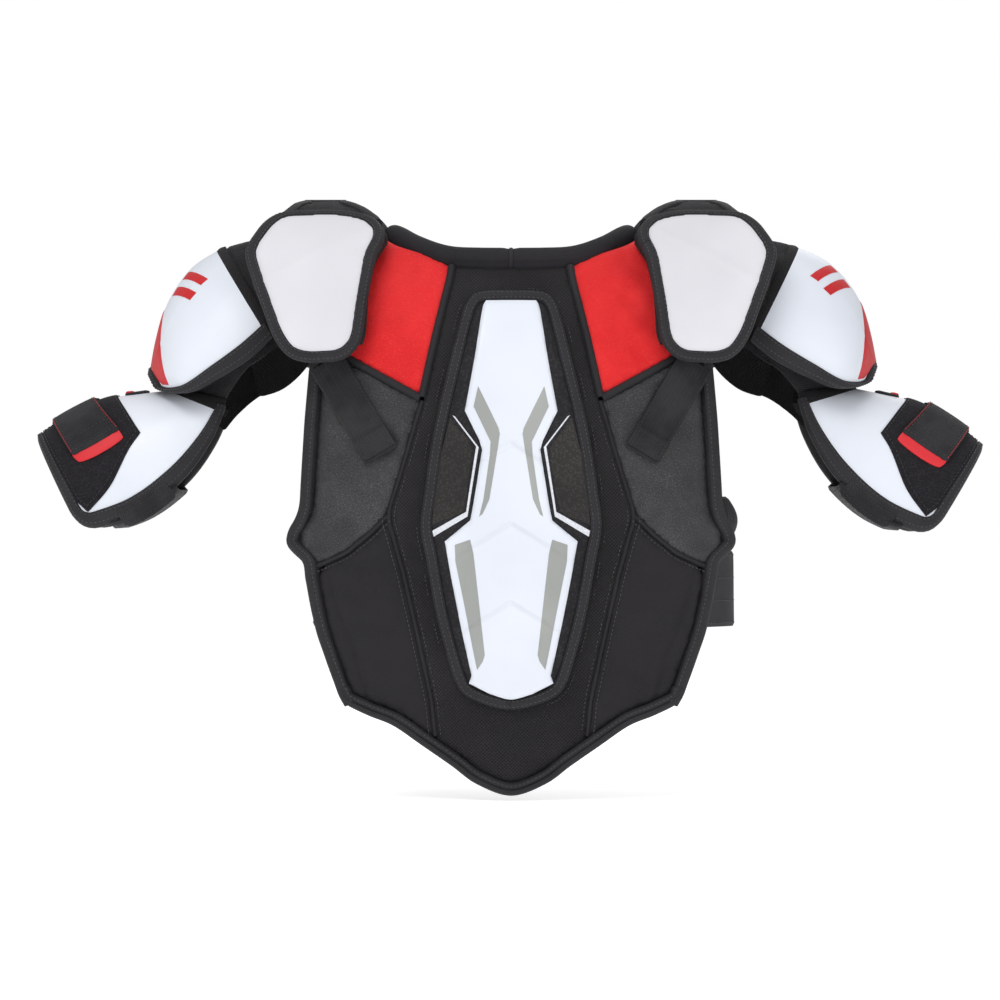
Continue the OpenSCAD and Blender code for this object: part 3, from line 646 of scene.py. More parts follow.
def satin(name, dark, mid, light, painted_glint_color):
    """Slightly shiny woven cloth: slanted fine weave; its scattered bright specks are painted glints, on threads that
    are also given lower roughness.
    """
    m = Mat(name, mid, rough=0.42, spec=0.55, sheen=0.06, sheen_tint="#9a9aa2")
    w = m.weave(0.0009, 0.0009, 0.6)
    # speck mask: lowers roughness on the shiny threads and also paints light glints on them
    shine_and_painted_specks = m.remap(m.noise(1100.0, 2.0, 0.6), 0.56, 0.72)
    # painted glint mask: random sparkles painted into the colour as highlights
    painted_glint_mask = m.remap(m.noise(900.0, 2.0, 0.7, obj=True), 0.5, 0.70)
    big = m.remap(m.noise(26.0, 4.0, 0.65, obj=True), 0.35, 0.68, smooth=True)
    base = m.mix(big, mid, light)
    base = m.mix(m.remap(w, 0.15, 0.75, 0.5, 0.0), base, dark)
    # painted highlights: light specks and glints mixed into the base colour
    base = m.mix(m.math("MULTIPLY", shine_and_painted_specks, 0.3), base, painted_glint_color)
    base = m.mix(m.math("MULTIPLY", m.math("MULTIPLY", painted_glint_mask, big), 0.2), base, painted_glint_color)
    m.color(base)
    m.rough(m.remap(shine_and_painted_specks, 0, 1, 0.5, 0.3))
    m.bump(m.noise(48.0, 3.0, 0.55, obj=True, dist=0.6), 0.0016, 0.5)
    m.bump(w, 0.00014, 0.9)
    return m.m


def red_cloth(name, dark, mid, light, painted_glint_color):
    m = Mat(name, mid, rough=0.62, spec=0.3, sheen=0.06, sheen_tint="#ff9a92")
    w = m.weave(0.0010, 0.0010, 0.785)
    shine_and_painted_specks = m.remap(m.noise(1000.0, 2.0, 0.6), 0.56, 0.72)
    big = m.remap(m.noise(22.0, 4.0, 0.65, obj=True), 0.35, 0.68, smooth=True)
    base = m.mix(big, mid, light)
    base = m.mix(m.remap(w, 0.15, 0.75, 0.5, 0.0), base, dark)
    # painted sparkle: light red specks mixed into the colour as glints; the same mask lowers roughness
    base = m.mix(m.math("MULTIPLY", shine_and_painted_specks, 0.5), base, painted_glint_color)
    m.color(base)
    m.rough(m.remap(shine_and_painted_specks, 0, 1, 0.68, 0.5))
    m.bump(m.noise(34.0, 3.0, 0.5, obj=True, dist=0.8), 0.0022, 0.6)
    m.bump(m.noise(110.0, 2.0, 0.55, obj=True), 0.0007, 0.5)
    m.bump(w, 0.00016, 0.9)
    return m.m


def mesh_fabric(name, dark, mid, light, pitch=0.0019, sheen=0.2):
    """Knitted spacer mesh: rows of small holes with a raised net between them."""
    m = Mat(name, mid, rough=0.85, spec=0.25, sheen=sheen, sheen_tint="#8d8d96")
    d = m.voronoi(1 / pitch, 0.12, rot=0.785)
    net = m.remap(d, 0.12, 0.5, smooth=True)
    big = m.remap(m.noise(14.0, 3.0, 0.6, obj=True), 0.35, 0.68, smooth=True)
    knit = m.weave(0.00045, 0.0006)
    base = m.mix(big, mid, light)
    base = m.mix(m.remap(net, 0, 1, 0.75, 0.0), base, dark)
    base = m.mix(m.remap(knit, 0, 1, 0.0, 0.22), base, light)
    m.color(base)
    m.rough(m.remap(net, 0, 1, 0.95, 0.78))
    m.bump(m.noise(120.0, 2.0, 0.5), 0.0005, 0.5)
    m.bump(net, 0.0004, 0.8)
    m.bump(knit, 0.00008, 0.6)
    return m.m


def tape_mat(name, dark, mid, light, pitch=0.0011, axis=0, sheen=0.25):
    """Ribbed woven tape: fine ribs along it, with a slight sheen."""
    m = Mat(name, mid, rough=0.7, spec=0.35, sheen=sheen, sheen_tint="#a5a5ae")
    r = m.ribs(pitch, axis)
    w = m.weave(0.0005, 0.0005, 0.785)
    big = m.remap(m.noise(30.0, 2.0, 0.6, obj=True), 0.35, 0.65, smooth=True)
    base = m.mix(big, mid, light)
    base = m.mix(m.remap(r, 0, 0.7, 0.5, 0.0), base, dark)
    base = m.mix(m.remap(w, 0, 1, 0.0, 0.2), base, light)
    m.color(base)
    m.rough(m.remap(big, 0, 1, 0.64, 0.78))
    m.bump(m.noise(90.0, 2.0, 0.5), 0.0004, 0.4)
    m.bump(r, 0.00022, 0.8)
    m.bump(w, 0.00007, 0.6)
    return m.m


def webbing_mat(name, dark, mid, light):
    """Herringbone webbing: slanted threads that turn every few millimetres."""
    m = Mat(name, mid, rough=0.72, spec=0.3, sheen=0.06, sheen_tint="#a5a5ae")
    u, v = m.axes()
    zig = m.math("PINGPONG", v, 0.003)
    d = m.math("ADD", m.math("MULTIPLY", u, 1.0), zig)
    r = m.math("ABSOLUTE", m.math("SINE", m.math("MULTIPLY", d, math.pi / 0.0012)))
    cols = m.math("ABSOLUTE", m.math("SINE", m.math("MULTIPLY", v, math.pi / 0.003)))
    big = m.remap(m.noise(30.0, 2.0, 0.6, obj=True), 0.35, 0.65, smooth=True)
    base = m.mix(big, mid, light)
    base = m.mix(m.remap(r, 0, 0.8, 0.6, 0.0), base, dark)
    base = m.mix(m.remap(cols, 0.0, 0.25, 0.4, 0.0), base, dark)
    m.color(base)
    m.rough(m.remap(r, 0, 1, 0.85, 0.66))
    m.bump(r, 0.0003, 0.9)
    m.bump(cols, 0.0002, 0.7)
    return m.m


def pile_mat(name, dark, mid, light):
    """Brushed loop pile that hook tape grips: soft tangled fuzz."""
    m = Mat(name, mid, rough=0.97, spec=0.15, sheen=0.15, sheen_tint="#8f8f96")
    n1 = m.noise(900.0, 4.0, 0.75)
    n2 = m.noise(240.0, 3.0, 0.6, dist=0.6)
    v = m.voronoi(700.0, 1.0)
    base = m.mix(m.remap(n1, 0.35, 0.68), dark, light)
    base = m.mix(m.remap(n2, 0.3, 0.7), base, mid)
    base = m.mix(m.remap(v, 0.0, 0.5, 0.35, 0.0), base, dark)
    m.color(base)
    m.bump(n2, 0.0006, 0.7)
    m.bump(n1, 0.0005, 0.9)
    return m.m


def plastic_mat(name, base_c, light_c, rough=0.4, coat=0.2, grain=0.00006, scuff="#c9ced6"):
    """Moulded plastic: fine orange peel, uneven gloss, faint scuffs on the high spots."""
    m = Mat(name, base_c, rough=rough, spec=0.5, coat=coat, coat_rough=0.25)
    big = m.remap(m.noise(9.0, 3.0, 0.5, obj=True), 0.3, 0.7, smooth=True)
    sm = m.noise(1500.0, 2.0, 0.5, obj=True)
    fleck = m.remap(m.noise(70.0, 5.0, 0.75, obj=True), 0.62, 0.8, 0.0, 0.3)
    base = m.mix(big, base_c, light_c)
    base = m.mix(fleck, base, scuff)
    m.color(base)
    m.rough(m.remap(m.noise(40.0, 4.0, 0.65, obj=True), 0.3, 0.7, rough - 0.07, rough + 0.1))
    m.bump(m.noise(60.0, 2.0, 0.5, obj=True), 0.0003, 0.25)
    m.bump(sm, grain, 0.7)
    return m.m


def foam_mat(name, dark, mid, light, grain=420.0):
    """Moulded foam skin: fine pebble grain."""
    m = Mat(name, mid, rough=0.72, spec=0.3, sheen=0.04, sheen_tint="#9a9aa2")
    v = m.voronoi(grain, 1.0)
    n = m.noise(16.0, 3.0, 0.6, obj=True)
    base = m.mix(m.remap(n, 0.35, 0.65, smooth=True), mid, light)
    base = m.mix(m.remap(v, 0.1, 0.6, 0.0, 0.5), base, dark)
    m.color(base)
    m.rough(m.remap(v, 0, 0.6, 0.62, 0.85))
    m.bump(v, 0.00025, 0.6)
    m.bump(m.noise(110.0, 2.0, 0.5), 0.0003, 0.4)
    return m.m


def thread_mat(name, dark, light):
    m = Mat(name, light, rough=0.6, spec=0.4, sheen=0.2)
    u, v = m.axes()
    tw = m.noise(1500.0, 2.0, 0.6, obj=True)
    m.color(m.mix(m.remap(tw, 0.35, 0.65), dark, light))
    m.bump(tw, 0.0001, 0.7)
    return m.m


M = {
    "mesh": mesh_fabric("black_mesh", "#08070a", "#1e1c1e", "#282628", sheen=0.05),
    # the last colour here is a painted glint colour
    "satin": satin("charcoal_satin", "#08080a", "#131215", "#1d1c1f", "#8d8a92"),
    "side": fabric("charcoal_twill", "#0b0a0c", "#1d1b1d", "#262427", 0.0011, 0.0008, rot=0.785, depth=0.00016, rough=0.75, sheen=0.06),
    # the last colour here is a painted glint colour
    "red": red_cloth("red_weave", "#96090f", "#dd161c", "#ea2427", "#f86058"),
    "lining": fabric("black_lining", "#08080a", "#19181b", "#232225", 0.0013, 0.0013, depth=0.0002, rough=0.95, sheen=0.1),
    "collar": fabric("black_knit", "#0b0b0d", "#1f1e21", "#2a282c", 0.0008, 0.0012, depth=0.00018, rough=0.85, sheen=0.1),
    "tape": tape_mat("charcoal_tape", "#0b0b0d", "#1d1c1f", "#29282b", sheen=0.04),
    "web": webbing_mat("charcoal_webbing", "#09090b", "#1e1d20", "#302f32"),
    "pile": pile_mat("black_pile", "#0c0b0d", "#1e1d20", "#39373c"),
    "foam": foam_mat("black_foam", "#0f0e11", "#201f22", "#2a282c"),
    "foam2": foam_mat("grey_foam", "#1a1919", "#302e2d", "#3a3836", 520.0),
    "white": plastic_mat("white_plastic", "#d4d9e3", "#dde1ea", 0.42, 0.12),
    "wing_white": plastic_mat("wing_white", "#cdcdd2", "#d6d6db", 0.6, 0.0, 0.00014, scuff="#bcbcc2"),
    "grey": plastic_mat("grey_inlay", "#8f918f", "#a0a29f", 0.5, 0.1, 0.00012, scuff="#7d7f7e"),
    "plastic_red": plastic_mat("red_inlay", "#b90d16", "#c5141c", 0.5, 0.05, 0.00008, scuff="#930b13"),
    "rubber": plastic_mat("red_rubber", "#c01620", "#d1202a", 0.6, 0.0, 0.00015, scuff="#9c0f18"),
    "thread": thread_mat("black_thread", "#0d0d0f", "#2c2b2e"),
    "thread_grey": thread_mat("grey_thread", "#19191b", "#4a494e"),
    "thread_red": thread_mat("red_thread", "#5d0a10", "#a3151d"),
    "line": thread_mat("pale_line", "#b9bcc4", "#e4e6ec"),
    "piping": fabric("black_piping", "#09090b", "#1c1b1e", "#272629", 0.0007, 0.0007, rot=0.785, depth=0.0001, rough=0.6, sheen=0.1),
}


# ------------------------------------------------------------------ tables of edges (mm, right half)
EDGE_CAD = [[-146, 133], [-127, 140], [-100, 150], [-69, 160], [-43, 168], [-28, 172], [-15, 169]]
EDGE = [[-146, 133], [-127, 140], [-100, 149.5], [-77, 154.5], [-60, 157.5], [-50, 159], [-46, 161], [-41, 166.5], [-36, 171], [-31, 172.5], [-27, 172], [-21, 169.5], [-13, 165], [-3, 162], [15, 161], [62, 158], [108, 154], [200, 150], [230, 149]]
SEAM = [[-195, 57], [-154, 61], [-107, 71], [-59, 82], [-12, 95], [26, 83], [77, 68], [127, 57], [177, 45]]
BLADE_LOW = [[-62, 190], [-55, 161], [-47, 142], [-41, 128], [-26, 109], [-12, 95]]
YOKE_LOW = [[77, 68], [106, 121], [122, 150]]
HEM = [[-226, 0], [-217, 26], [-203, 45], [-187, 68], [-172, 90], [-164, 110], [-155, 128], [-146, 133]]
NECKB = [[177, 45], [187, 60], [200, 90], [207, 99]]
CHESTX = [[-62, 112], [-50, 128], [-30, 138], [20, 140], [60, 136], [108, 135], [143, 141]]
SPINE_HALF = [[24, 157], [33, 150], [38, 137], [46, 105], [53, 76], [60, 42], [65, 7], [68, -20], [64, -44], [57, -84], [49, -116], [42, -138], [35, -148], [20, -155]]
PLATE_HALF = [[19, 149], [22, 142], [28, 105], [35, 67], [24, 45], [22, 38], [28, 1], [31, -15], [50, -31], [45, -60], [38, -96], [30, -133], [32, -139], [16, -147]]
WING_EDGE = [[94, 207], [103, 190], [108, 165], [110, 128], [116, 110], [138, 102], [161, 103], [177, 112], [187, 134], [201, 168], [203, 186], [193, 206], [173, 225], [160, 231], [140, 232], [117, 229], [101, 219]]
T_PANEL, T_BIND = 11.0, 8.0
BUMPY = (0.35, 34, 3)


def xz(T, zs, dx=0.0):
    """Points (x, z) along a table of [z, x], moved sideways."""
    zs = np.asarray(zs, float)
    return np.stack([interp(zs, T) + dx, zs], axis=1)


def zs(a, b, step=12.0):
    n = max(2, int(abs(b - a) / step) + 1)
    return np.linspace(a, b, n)


def arc_outline(parts, step=2.5):
    """Closed outline from open runs; the places where runs meet are corners."""
    pts, corners = [], []
    for run in parts:
        corners.append(len(pts))
        pts += [tuple(p) for p in run]
    clean, keep = [], []
    for i, p in enumerate(pts):
        if clean and np.hypot(p[0] - clean[-1][0], p[1] - clean[-1][1]) < 0.4:
            if i in corners:
                keep.append(len(clean) - 1)
            continue
        if i in corners:
            keep.append(len(clean))
        clean.append(p)
    if np.hypot(clean[0][0] - clean[-1][0], clean[0][1] - clean[-1][1]) < 0.4:
        clean.pop()
    return smooth(clean, sorted(set(k for k in keep if k < len(clean))), step)


def rounded(pts, r, step=2.2):
    """Closed outline with straight sides and corners rounded over about r."""
    P = np.asarray(pts, float)
    out = []
    n = len(P)
    for i in range(n):
        a, b, c = P[i - 1], P[i], P[(i + 1) % n]
        ra = min(r, np.linalg.norm(a - b) * 0.45)
        rc = min(r, np.linalg.norm(c - b) * 0.45)
        p, q = b + (a - b) / np.linalg.norm(a - b) * ra, b + (c - b) / np.linalg.norm(c - b) * rc
        for t_ in np.linspace(0, 1, 7):
            out.append((1 - t_) ** 2 * p + 2 * t_ * (1 - t_) * b + t_ * t_ * q)
    out.append(out[0])
    return ccw(_resample(np.array(out), step)[:-1])


def ccw(P):
    x, y = P[:, 0], P[:, 1]
    a = (x * np.roll(y, -1) - np.roll(x, -1) * y).sum()
    return P if a > 0 else P[::-1].copy()


# ------------------------------------------------------------------ cloth
def inflate(pressure, cap, shrink=-0.006, frames=18, seed=0):
    """Puffs a sewn panel up: its top sheet is cloth pinned at the seams, under pressure."""
    def run(S, P, F, ring, h, d):
        V = S(P[:, 0], P[:, 1], h) * MM
        me = bpy.data.meshes.new("cloth")
        me.from_pydata(V.tolist(), [], [tuple(f) for f in F])
        ob = bpy.data.objects.new("cloth", me)
        bpy.context.scene.collection.objects.link(ob)
        g = ob.vertex_groups.new(name="pin")
        pinned = np.where(d < 1.0)[0]
        g.add([int(i) for i in pinned], 1.0, "REPLACE")
        near = np.where((d >= 1.0) & (d < 6.0))[0]
        for i in near:
            g.add([int(i)], float(0.55 * (1 - d[i] / 6.0)), "REPLACE")
        mod = ob.modifiers.new("Cloth", "CLOTH")
        s = mod.settings
        s.quality = 6
        s.mass = 0.12
        s.tension_stiffness = s.compression_stiffness = 18
        s.shear_stiffness = 8
        s.bending_stiffness = 0.25
        s.air_damping = 4
        s.tension_damping = s.compression_damping = s.shear_damping = 12
        s.vertex_group_mass = "pin"
        s.pin_stiffness = 3
        s.use_pressure = True
        s.uniform_pressure_force = pressure
        s.shrink_min = shrink
        s.effector_weights.gravity = 0
        mod.point_cache.frame_start = 1
        mod.point_cache.frame_end = frames
        sc = bpy.context.scene
        for f in range(1, frames + 1):
            sc.frame_set(f)
        ev = ob.evaluated_get(bpy.context.evaluated_depsgraph_get())
        co = np.empty(len(V) * 3)
        ev.data.vertices.foreach_get("co", co)
        co = co.reshape(-1, 3)
        sc.frame_set(1)
        n = unit(S(P[:, 0], P[:, 1], h + 1.0) - S(P[:, 0], P[:, 1], h))
        up = ((co - V) * n).sum(1) * 1000
        up[~np.isfinite(up)] = 0
        bpy.data.objects.remove(ob)
        bpy.data.meshes.remove(me)
        # soft limit on how far a point may move, either way
        up = np.where(up > 0, cap * np.tanh(up / cap), 1.2 * np.tanh(up / 1.2))
        return h + up
    return run


# ------------------------------------------------------------------ back
def hem_pts(d):
    """Hem line from the middle out, moved inwards by d."""
    P = np.array([[x, z] for z, x in HEM], float)
    P = np.vstack([[-P[1, 0], P[1, 1]], P])
    return shift(P, -d, closed=False)[1:]


def clip_x(P, x0, x1):
    """The stretch of a line of growing x between x0 and x1."""
    m = (P[:, 0] > x0 + 1) & (P[:, 0] < x1 - 1)
    at = lambda x: [x, float(np.interp(x, P[:, 0], P[:, 1]))]
    return np.vstack([[at(x0)], P[m], [at(x1)]])


HEM_IN = hem_pts(T_BIND + 0.5)
NOTCH = [[-60, 157.6], [-51, 158.6], [-46.5, 160.5], [-42, 165.5], [-37, 170.5], [-32.5, 172.6], [-28, 172.3], [-22, 170.2], [-14, 165.5]]
G = 0.7

# centre panel
seam_low = float(np.interp(59.0, HEM_IN[:, 0], HEM_IN[:, 1]))
right = np.vstack([clip_x(HEM_IN, 0, interp(seam_low, SEAM) - G), xz(SEAM, zs(seam_low + 4, 176), -G), [[44, 181], [24, 182], [0, 182]]])
OUT_CENTRE = smooth(np.vstack([right, [(-x, z) for x, z in right[-2:0:-1]]]),
                    corners=[len(clip_x(HEM_IN, 0, 57)) - 1, len(right) - 3, len(right) + 1, 2 * len(right) - 2 - (len(clip_x(HEM_IN, 0, 57)) - 1)])
spine_out = smooth([tuple(p) for p in mirror_half([(0, -159)] + SPINE_HALF[::-1] + [(0, 158)])], step=2.5)
make("back_centre_pad", pad(S_back, OUT_CENTRE, -0.4, -T_PANEL, step=5.0, rnd=7, drop=3.2, wobble=BUMPY,
     sim=inflate(0.9, 3.0)), M["mesh"], TORSO, replaces="back_centre_panel")

# the rest of the back, right then left
def low_line(zz, off, inset):
    """The blade panel's lower seam, cut off where it runs under the side tape."""
    P = xz(BLADE_LOW, zz, off)
    return np.array([p for p in P if p[0] < interp(p[1], EDGE) - inset])


NOTCH_IN = xz(EDGE, zs(-50, 116), -T_BIND - 0.4)
NOTCH_IN[NOTCH_IN[:, 1] < -12, 0] += 1.8
blade_out = arc_outline([low_line(zs(-12, -56, 4), G, T_BIND), NOTCH_IN, xz(YOKE_LOW, zs(119, 79, 9), 0) + [0, -G], xz(SEAM, zs(75, -10), G)])
side_out = arc_outline([clip_x(HEM_IN, interp(seam_low, SEAM) + G, 125), xz(EDGE, zs(-139, -60), -T_BIND - 0.4), low_line(zs(-57, -14, 4), -1.2, T_BIND) + [0, -1.4], xz(SEAM, zs(-16, seam_low + 4), G)])
yoke_out = arc_outline([xz(YOKE_LOW, zs(81, 120, 9), 0) + [0, G], [(149 - T_BIND, 126), (143, 160), (142, 200), (142, 212)], [(120, 210), (103, 207), (88, 199), (62, 190), (46, 181)], xz(SEAM, zs(177, 84), G)])
fold = smooth([(142, -51), (135, -78), (124, -107), (111, -152)], step=3, closed=False)
for sd, nm in SIDES:
    make(f"blade_pad_{nm}", pad(S_back, ccw(blade_out), -0.6, -T_PANEL, step=4.8, rnd=7, drop=3.4, wobble=(0.4, 38, 5 + sd), sim=inflate(1.0, 2.6)),
         M["satin"], TORSO, sd, replaces=f"back_blade_panel_{nm}")
    make(f"side_pad_{nm}", pad(S_back, ccw(side_out), -0.6, -T_PANEL, step=4.8, rnd=7, drop=3.4, wobble=(0.4, 38, 9 + sd), grooves=[(fold, 2.2, 1.6)], sim=inflate(0.9, 3.0)),
         M["side"], TORSO, sd, replaces=f"back_side_panel_{nm}")
    make(f"yoke_pad_{nm}", pad(S_back, ccw(yoke_out), -1.0, -T_PANEL, step=4.5, rnd=7, drop=3.0, wobble=(0.5, 30, 14 + sd), sim=inflate(0.9, 2.6)),
         M["red"], TORSO, sd, replaces=f"rear_yoke_{nm}")
    # black piping down the seam and along the foot of the red panel
    seam_pipe = smooth(xz(SEAM, zs(79, 181, 10), 0.6), step=3, closed=False)
    low_pipe = smooth(xz(YOKE_LOW, zs(78, 121, 8), 0), step=3, closed=False)
    pipe = [(-3.2, -2.6), (-2.8, -1.0), (-1.4, 0.5), (0, 0.9), (1.4, 0.5), (2.8, -1.0), (3.2, -2.6), (0, -3.4)]
    make(f"yoke_piping_{nm}", join(sweep(S_back, seam_pipe, pipe, closed=False), sweep(S_back, low_pipe, pipe, closed=False)), M["piping"], TORSO, sd)
    # seams: a low folded ridge with thread each side
    s1 = smooth(xz(SEAM, zs(seam_low + 2, 76, 10), 0), step=3, closed=False)
    s2 = smooth(low_line(zs(-56, -12, 2), 0, 3.5)[::2], step=3, closed=False)
    ridge = [(-2.0, -4.5), (-1.8, -2.6), (-0.7, -1.5), (0.5, -1.5), (1.7, -2.6), (2.0, -4.5)]
    make(f"back_seams_{nm}", join(sweep(S_back, s1, ridge, closed=False), sweep(S_back, s2, ridge, closed=False)), M["piping"], TORSO, sd)
    make(f"back_stitching_{nm}", join(
        stitches(S_back, s1, -0.9, 4.6, closed=False), stitches(S_back, s1, -0.9, -4.6, closed=False),
        stitches(S_back, s2, -0.9, -4.6, closed=False),
        stitches(S_back, smooth(xz(YOKE_LOW, zs(82, 119, 9), 0), step=3, closed=False), -0.6, 4.8, closed=False)), M["thread_grey"], TORSO, sd)

# tape round the armholes, down the sides and along the hem
edge_r = smooth(np.vstack([[(127, -158), (131.5, -150)], xz(EDGE, zs(-141, -66, 12)), [(x, z) for z, x in NOTCH], xz(EDGE, zs(-4, 204, 15))]), step=3, closed=False)
hem_full = smooth([(-x, z) for z, x in HEM[:0:-1]] + [(x, z) for z, x in HEM], step=3, closed=False)
side_prof = tape_profile(T_BIND, 0.6, -T_PANEL - 1, crown=1.0)
hem_prof = tape_profile(T_BIND + 1.0, 0.4, -T_PANEL - 1, crown=1.3, ridges=2)
make("back_tape", join(both(sweep(S_back, edge_r, side_prof, closed=False)), sweep(S_back, hem_full, hem_prof, closed=False)), M["tape"], TORSO, replaces="back_edge_binding")
make("back_tape_stitching", join(both(stitches(S_back, edge_r, 1.35, -6.2, closed=False)), stitches(S_back, hem_full, 1.5, -7.2, closed=False)), M["thread_grey"], TORSO)

# quilted lining inside the back
lin_r = [(0, -216), (26, -207), (45, -192), (68, -176), (90, -160), (110, -152), (124, -142), (140, -100), (149, -69), (158, -42), (160, -28), (158, -10), (153, 15), (147, 62), (143, 108), (140, 150), (138, 190), (100, 196), (60, 184), (28, 177), (0, 176)]
lin_out = smooth(lin_r + [(-x, z) for x, z in lin_r[-2:0:-1]], corners=[0, 6, 16, 2 * len(lin_r) - 2 - 6, 2 * len(lin_r) - 2 - 16], step=3.5)
quilt = [smooth([(x, -200), (x * 0.98, -60), (x * 0.92, 60), (x * 0.9, 185)], step=5, closed=False) for x in (-120, -80, -40, 0, 40, 80, 120)]
quilt += [smooth([(-150, z), (0, z - 6), (150, z)], step=5, closed=False) for z in (-160, -110, -60, -10, 40, 90, 140)]


def lining(S, outline, lines, step=6.0, base=-15.2, depth=2.6):
    P, F, ring = fill(outline, step)
    d = dist_to(P, outline)
    g = sum(np.exp(-(dist_to(P, np.asarray(l), closed=False) / 4.0) ** 2) for l in lines)
    h = base + np.clip(g, 0, 1) * depth + 2.4 * (1 - np.clip(d / 9, 0, 1)) ** 2
    hb = h - 0.0
    Vt = S(P[:, 0], P[:, 1], np.full(len(P), base + depth + 0.8))
    Vb = S(P[:, 0], P[:, 1], np.minimum(hb, base + depth - 0.4))
    n, m = len(P), len(ring)
    faces = [tuple(f) for f in F] + [tuple(n + i for i in f[::-1]) for f in F]
    faces += [(ring[(i + 1) % m], ring[i], n + ring[i], n + ring[(i + 1) % m]) for i in range(m)]
    return np.vstack([Vt, Vb]), faces, np.vstack([P, P]) * MM


make("back_lining", lining(S_back, ccw(lin_out), quilt), M["lining"], TORSO, replaces="back_liner")


# ------------------------------------------------------------------ spine guard
def ring_in(P, w):
    return shift(P, -w, closed=True)


foam_out = ring_in(spine_out, 7.0)


def foam_h(P):
    """Moulded steps of the foam: a raised bed under the plate, hollows beside it."""
    x, z = np.abs(P[:, 0]), P[:, 1]
    bed = interp(z, [[-150, 30], [-90, 38], [-31, 52], [-15, 33], [40, 24], [67, 36], [100, 30], [149, 24]])
    return 1.4 * (1 / (1 + np.exp((x - bed - 4) / 1.2)))


make("spine_foam", pad(S_back, ccw(foam_out), 5.6, 1.2, step=3.4, rnd=5, drop=1.6, extra=foam_h, wobble=(0.15, 25, 4)), M["foam"], TORSO, replaces="spine_guard_frame")

CREASE = (42.0, -18.0, -78.0)
plate_pts = mirror_half([(0, -151)] + PLATE_HALF[::-1] + [(0, 149)])
pc = [i for i, p in enumerate(plate_pts) if abs(p[0]) > 1]
plate_out = smooth(plate_pts, corners=[i for i, p in enumerate(plate_pts) if (abs(p[0]), p[1]) in ((19, 149), (35, 67), (24, 45), (22, 38), (31, -15), (50, -31), (30, -133), (32, -139), (16, -147))], step=2.0)


def plate_top(P):
    x, z = np.abs(P[:, 0]), P[:, 1]
    h = 8.9 + 1.2 * np.clip(1 - (x / 34) ** 2, 0, 1)
    for z0 in CREASE:
        s = z0 - (z + 0.62 * x)
        w = np.clip(1.25 - x / 42, 0, 1)
        h = h + w * np.where(s > 0, 1.5 * np.exp(-s / 15), 1.5 * np.exp(-(s / 1.3) ** 2) - 0.55 * np.exp(-((s + 2.6) / 2.2) ** 2))
    return h


def plate(S, outline, top, bottom, step=3.0, bevel=2.6, drop=1.5):
    """A thin hard plate with a soft bevel round its edge; top is a height over (x, y)."""
    P, F, ring = fill(outline, step)
    d = dist_to(P, outline)
    k = 1 - np.clip(d / bevel, 0, 1)
    tp = top(P) if callable(top) else np.full(len(P), float(top))
    h = tp - drop * (1 - np.sqrt(np.maximum(1 - k * k, 0)))
    bt = bottom(P) if callable(bottom) else np.full(len(P), float(bottom))
    Vt, Vb = S(P[:, 0], P[:, 1], h), S(P[:, 0], P[:, 1], np.minimum(bt, h - 0.3))
    n, m = len(P), len(ring)
    faces = [tuple(f) for f in F] + [tuple(n + i for i in f[::-1]) for f in F]
    faces += [(ring[(i + 1) % m], ring[i], n + ring[i], n + ring[(i + 1) % m]) for i in range(m)]
    return np.vstack([Vt, Vb]), faces, np.vstack([P, P]) * MM


def rings_for(outline, offsets):
    return [ring_in(outline, o) for o in offsets]


make("spine_plate", plate(S_back, ccw(plate_out), plate_top, 6.6, step=1.8, bevel=3.0, drop=1.7), M["white"], TORSO, replaces="spine_guard_plate", smooth_angle=40)


def inlay(name, pts, top, mat, sd, corners="all", S=S_back, kind="torso", body=TORSO, t=0.55, bevel=0.7, step=2.2):
    o = smooth(pts, corners=list(range(len(pts))) if corners == "all" else corners, step=1.6)
    f = top if callable(top) else (lambda P: np.full(len(P), float(top)))
    return make(name, plate(S, ccw(o), lambda P: f(P) + t, lambda P: f(P) - 1.2, step=step, bevel=bevel, drop=0.35), mat, body, sd, kind)


UP = [(25, 85), (9.5, 54), (8.6, 50), (10.4, 38), (16.5, 1), (21.6, -10), (24.2, -12), (21.0, 1), (16.2, 34), (15.6, 44), (28.4, 70)]
LOW = [(42.5, -33.5), (31, -29.5), (28.5, -40), (20, -117), (21.5, -122), (25.8, -128.5), (28, -118), (34.5, -84), (42, -46)]
PIN = [(44.5, 64), (26.5, 40.5), (32.6, 1.5), (34, -8.5), (59.5, -23), (58.5, -27.5), (33, -12), (31, 0.5), (24.6, 40), (42.5, 63)]
WEDGE = [(46, 62), (53, 36), (57.5, 6), (60, -19), (36, -9), (34, 2), (28.6, 40.5)]
for sd, nm in SIDES:
    inlay(f"spine_inlay_upper_{nm}", UP, plate_top, M["grey"], sd, t=0.5, step=1.8)
    inlay(f"spine_inlay_lower_{nm}", LOW, plate_top, M["grey"], sd, t=0.5, step=1.8)
    inlay(f"spine_pinstripe_{nm}", PIN, lambda P: 5.6 + foam_h(P), M["line"], sd, t=0.55)
    inlay(f"spine_side_inset_{nm}", WEDGE, lambda P: 5.55 + foam_h(P), M["foam2"], sd, t=0.3)

spine_path = ring_in(spine_out, 0.0)
make("spine_tape", sweep(S_back, ccw(spine_path), [(-8, 5.6), (-7.6, 6.3), (-6, 7.1), (-4, 7.4), (-2, 7.1), (-0.4, 5.9), (0.5, 4.0), (0.7, 1.6), (0.2, -0.6), (-4, -1.0), (-8, 0.5)]), M["tape"], TORSO, replaces="spine_guard_binding")
make("spine_stitching", join(stitches(S_back, ccw(spine_path), 7.15, -6.2), stitches(S_back, ccw(spine_path), 7.15, -2.0), stitches(S_back, ccw(spine_path), -0.35, 4.0)), M["thread_grey"], TORSO)

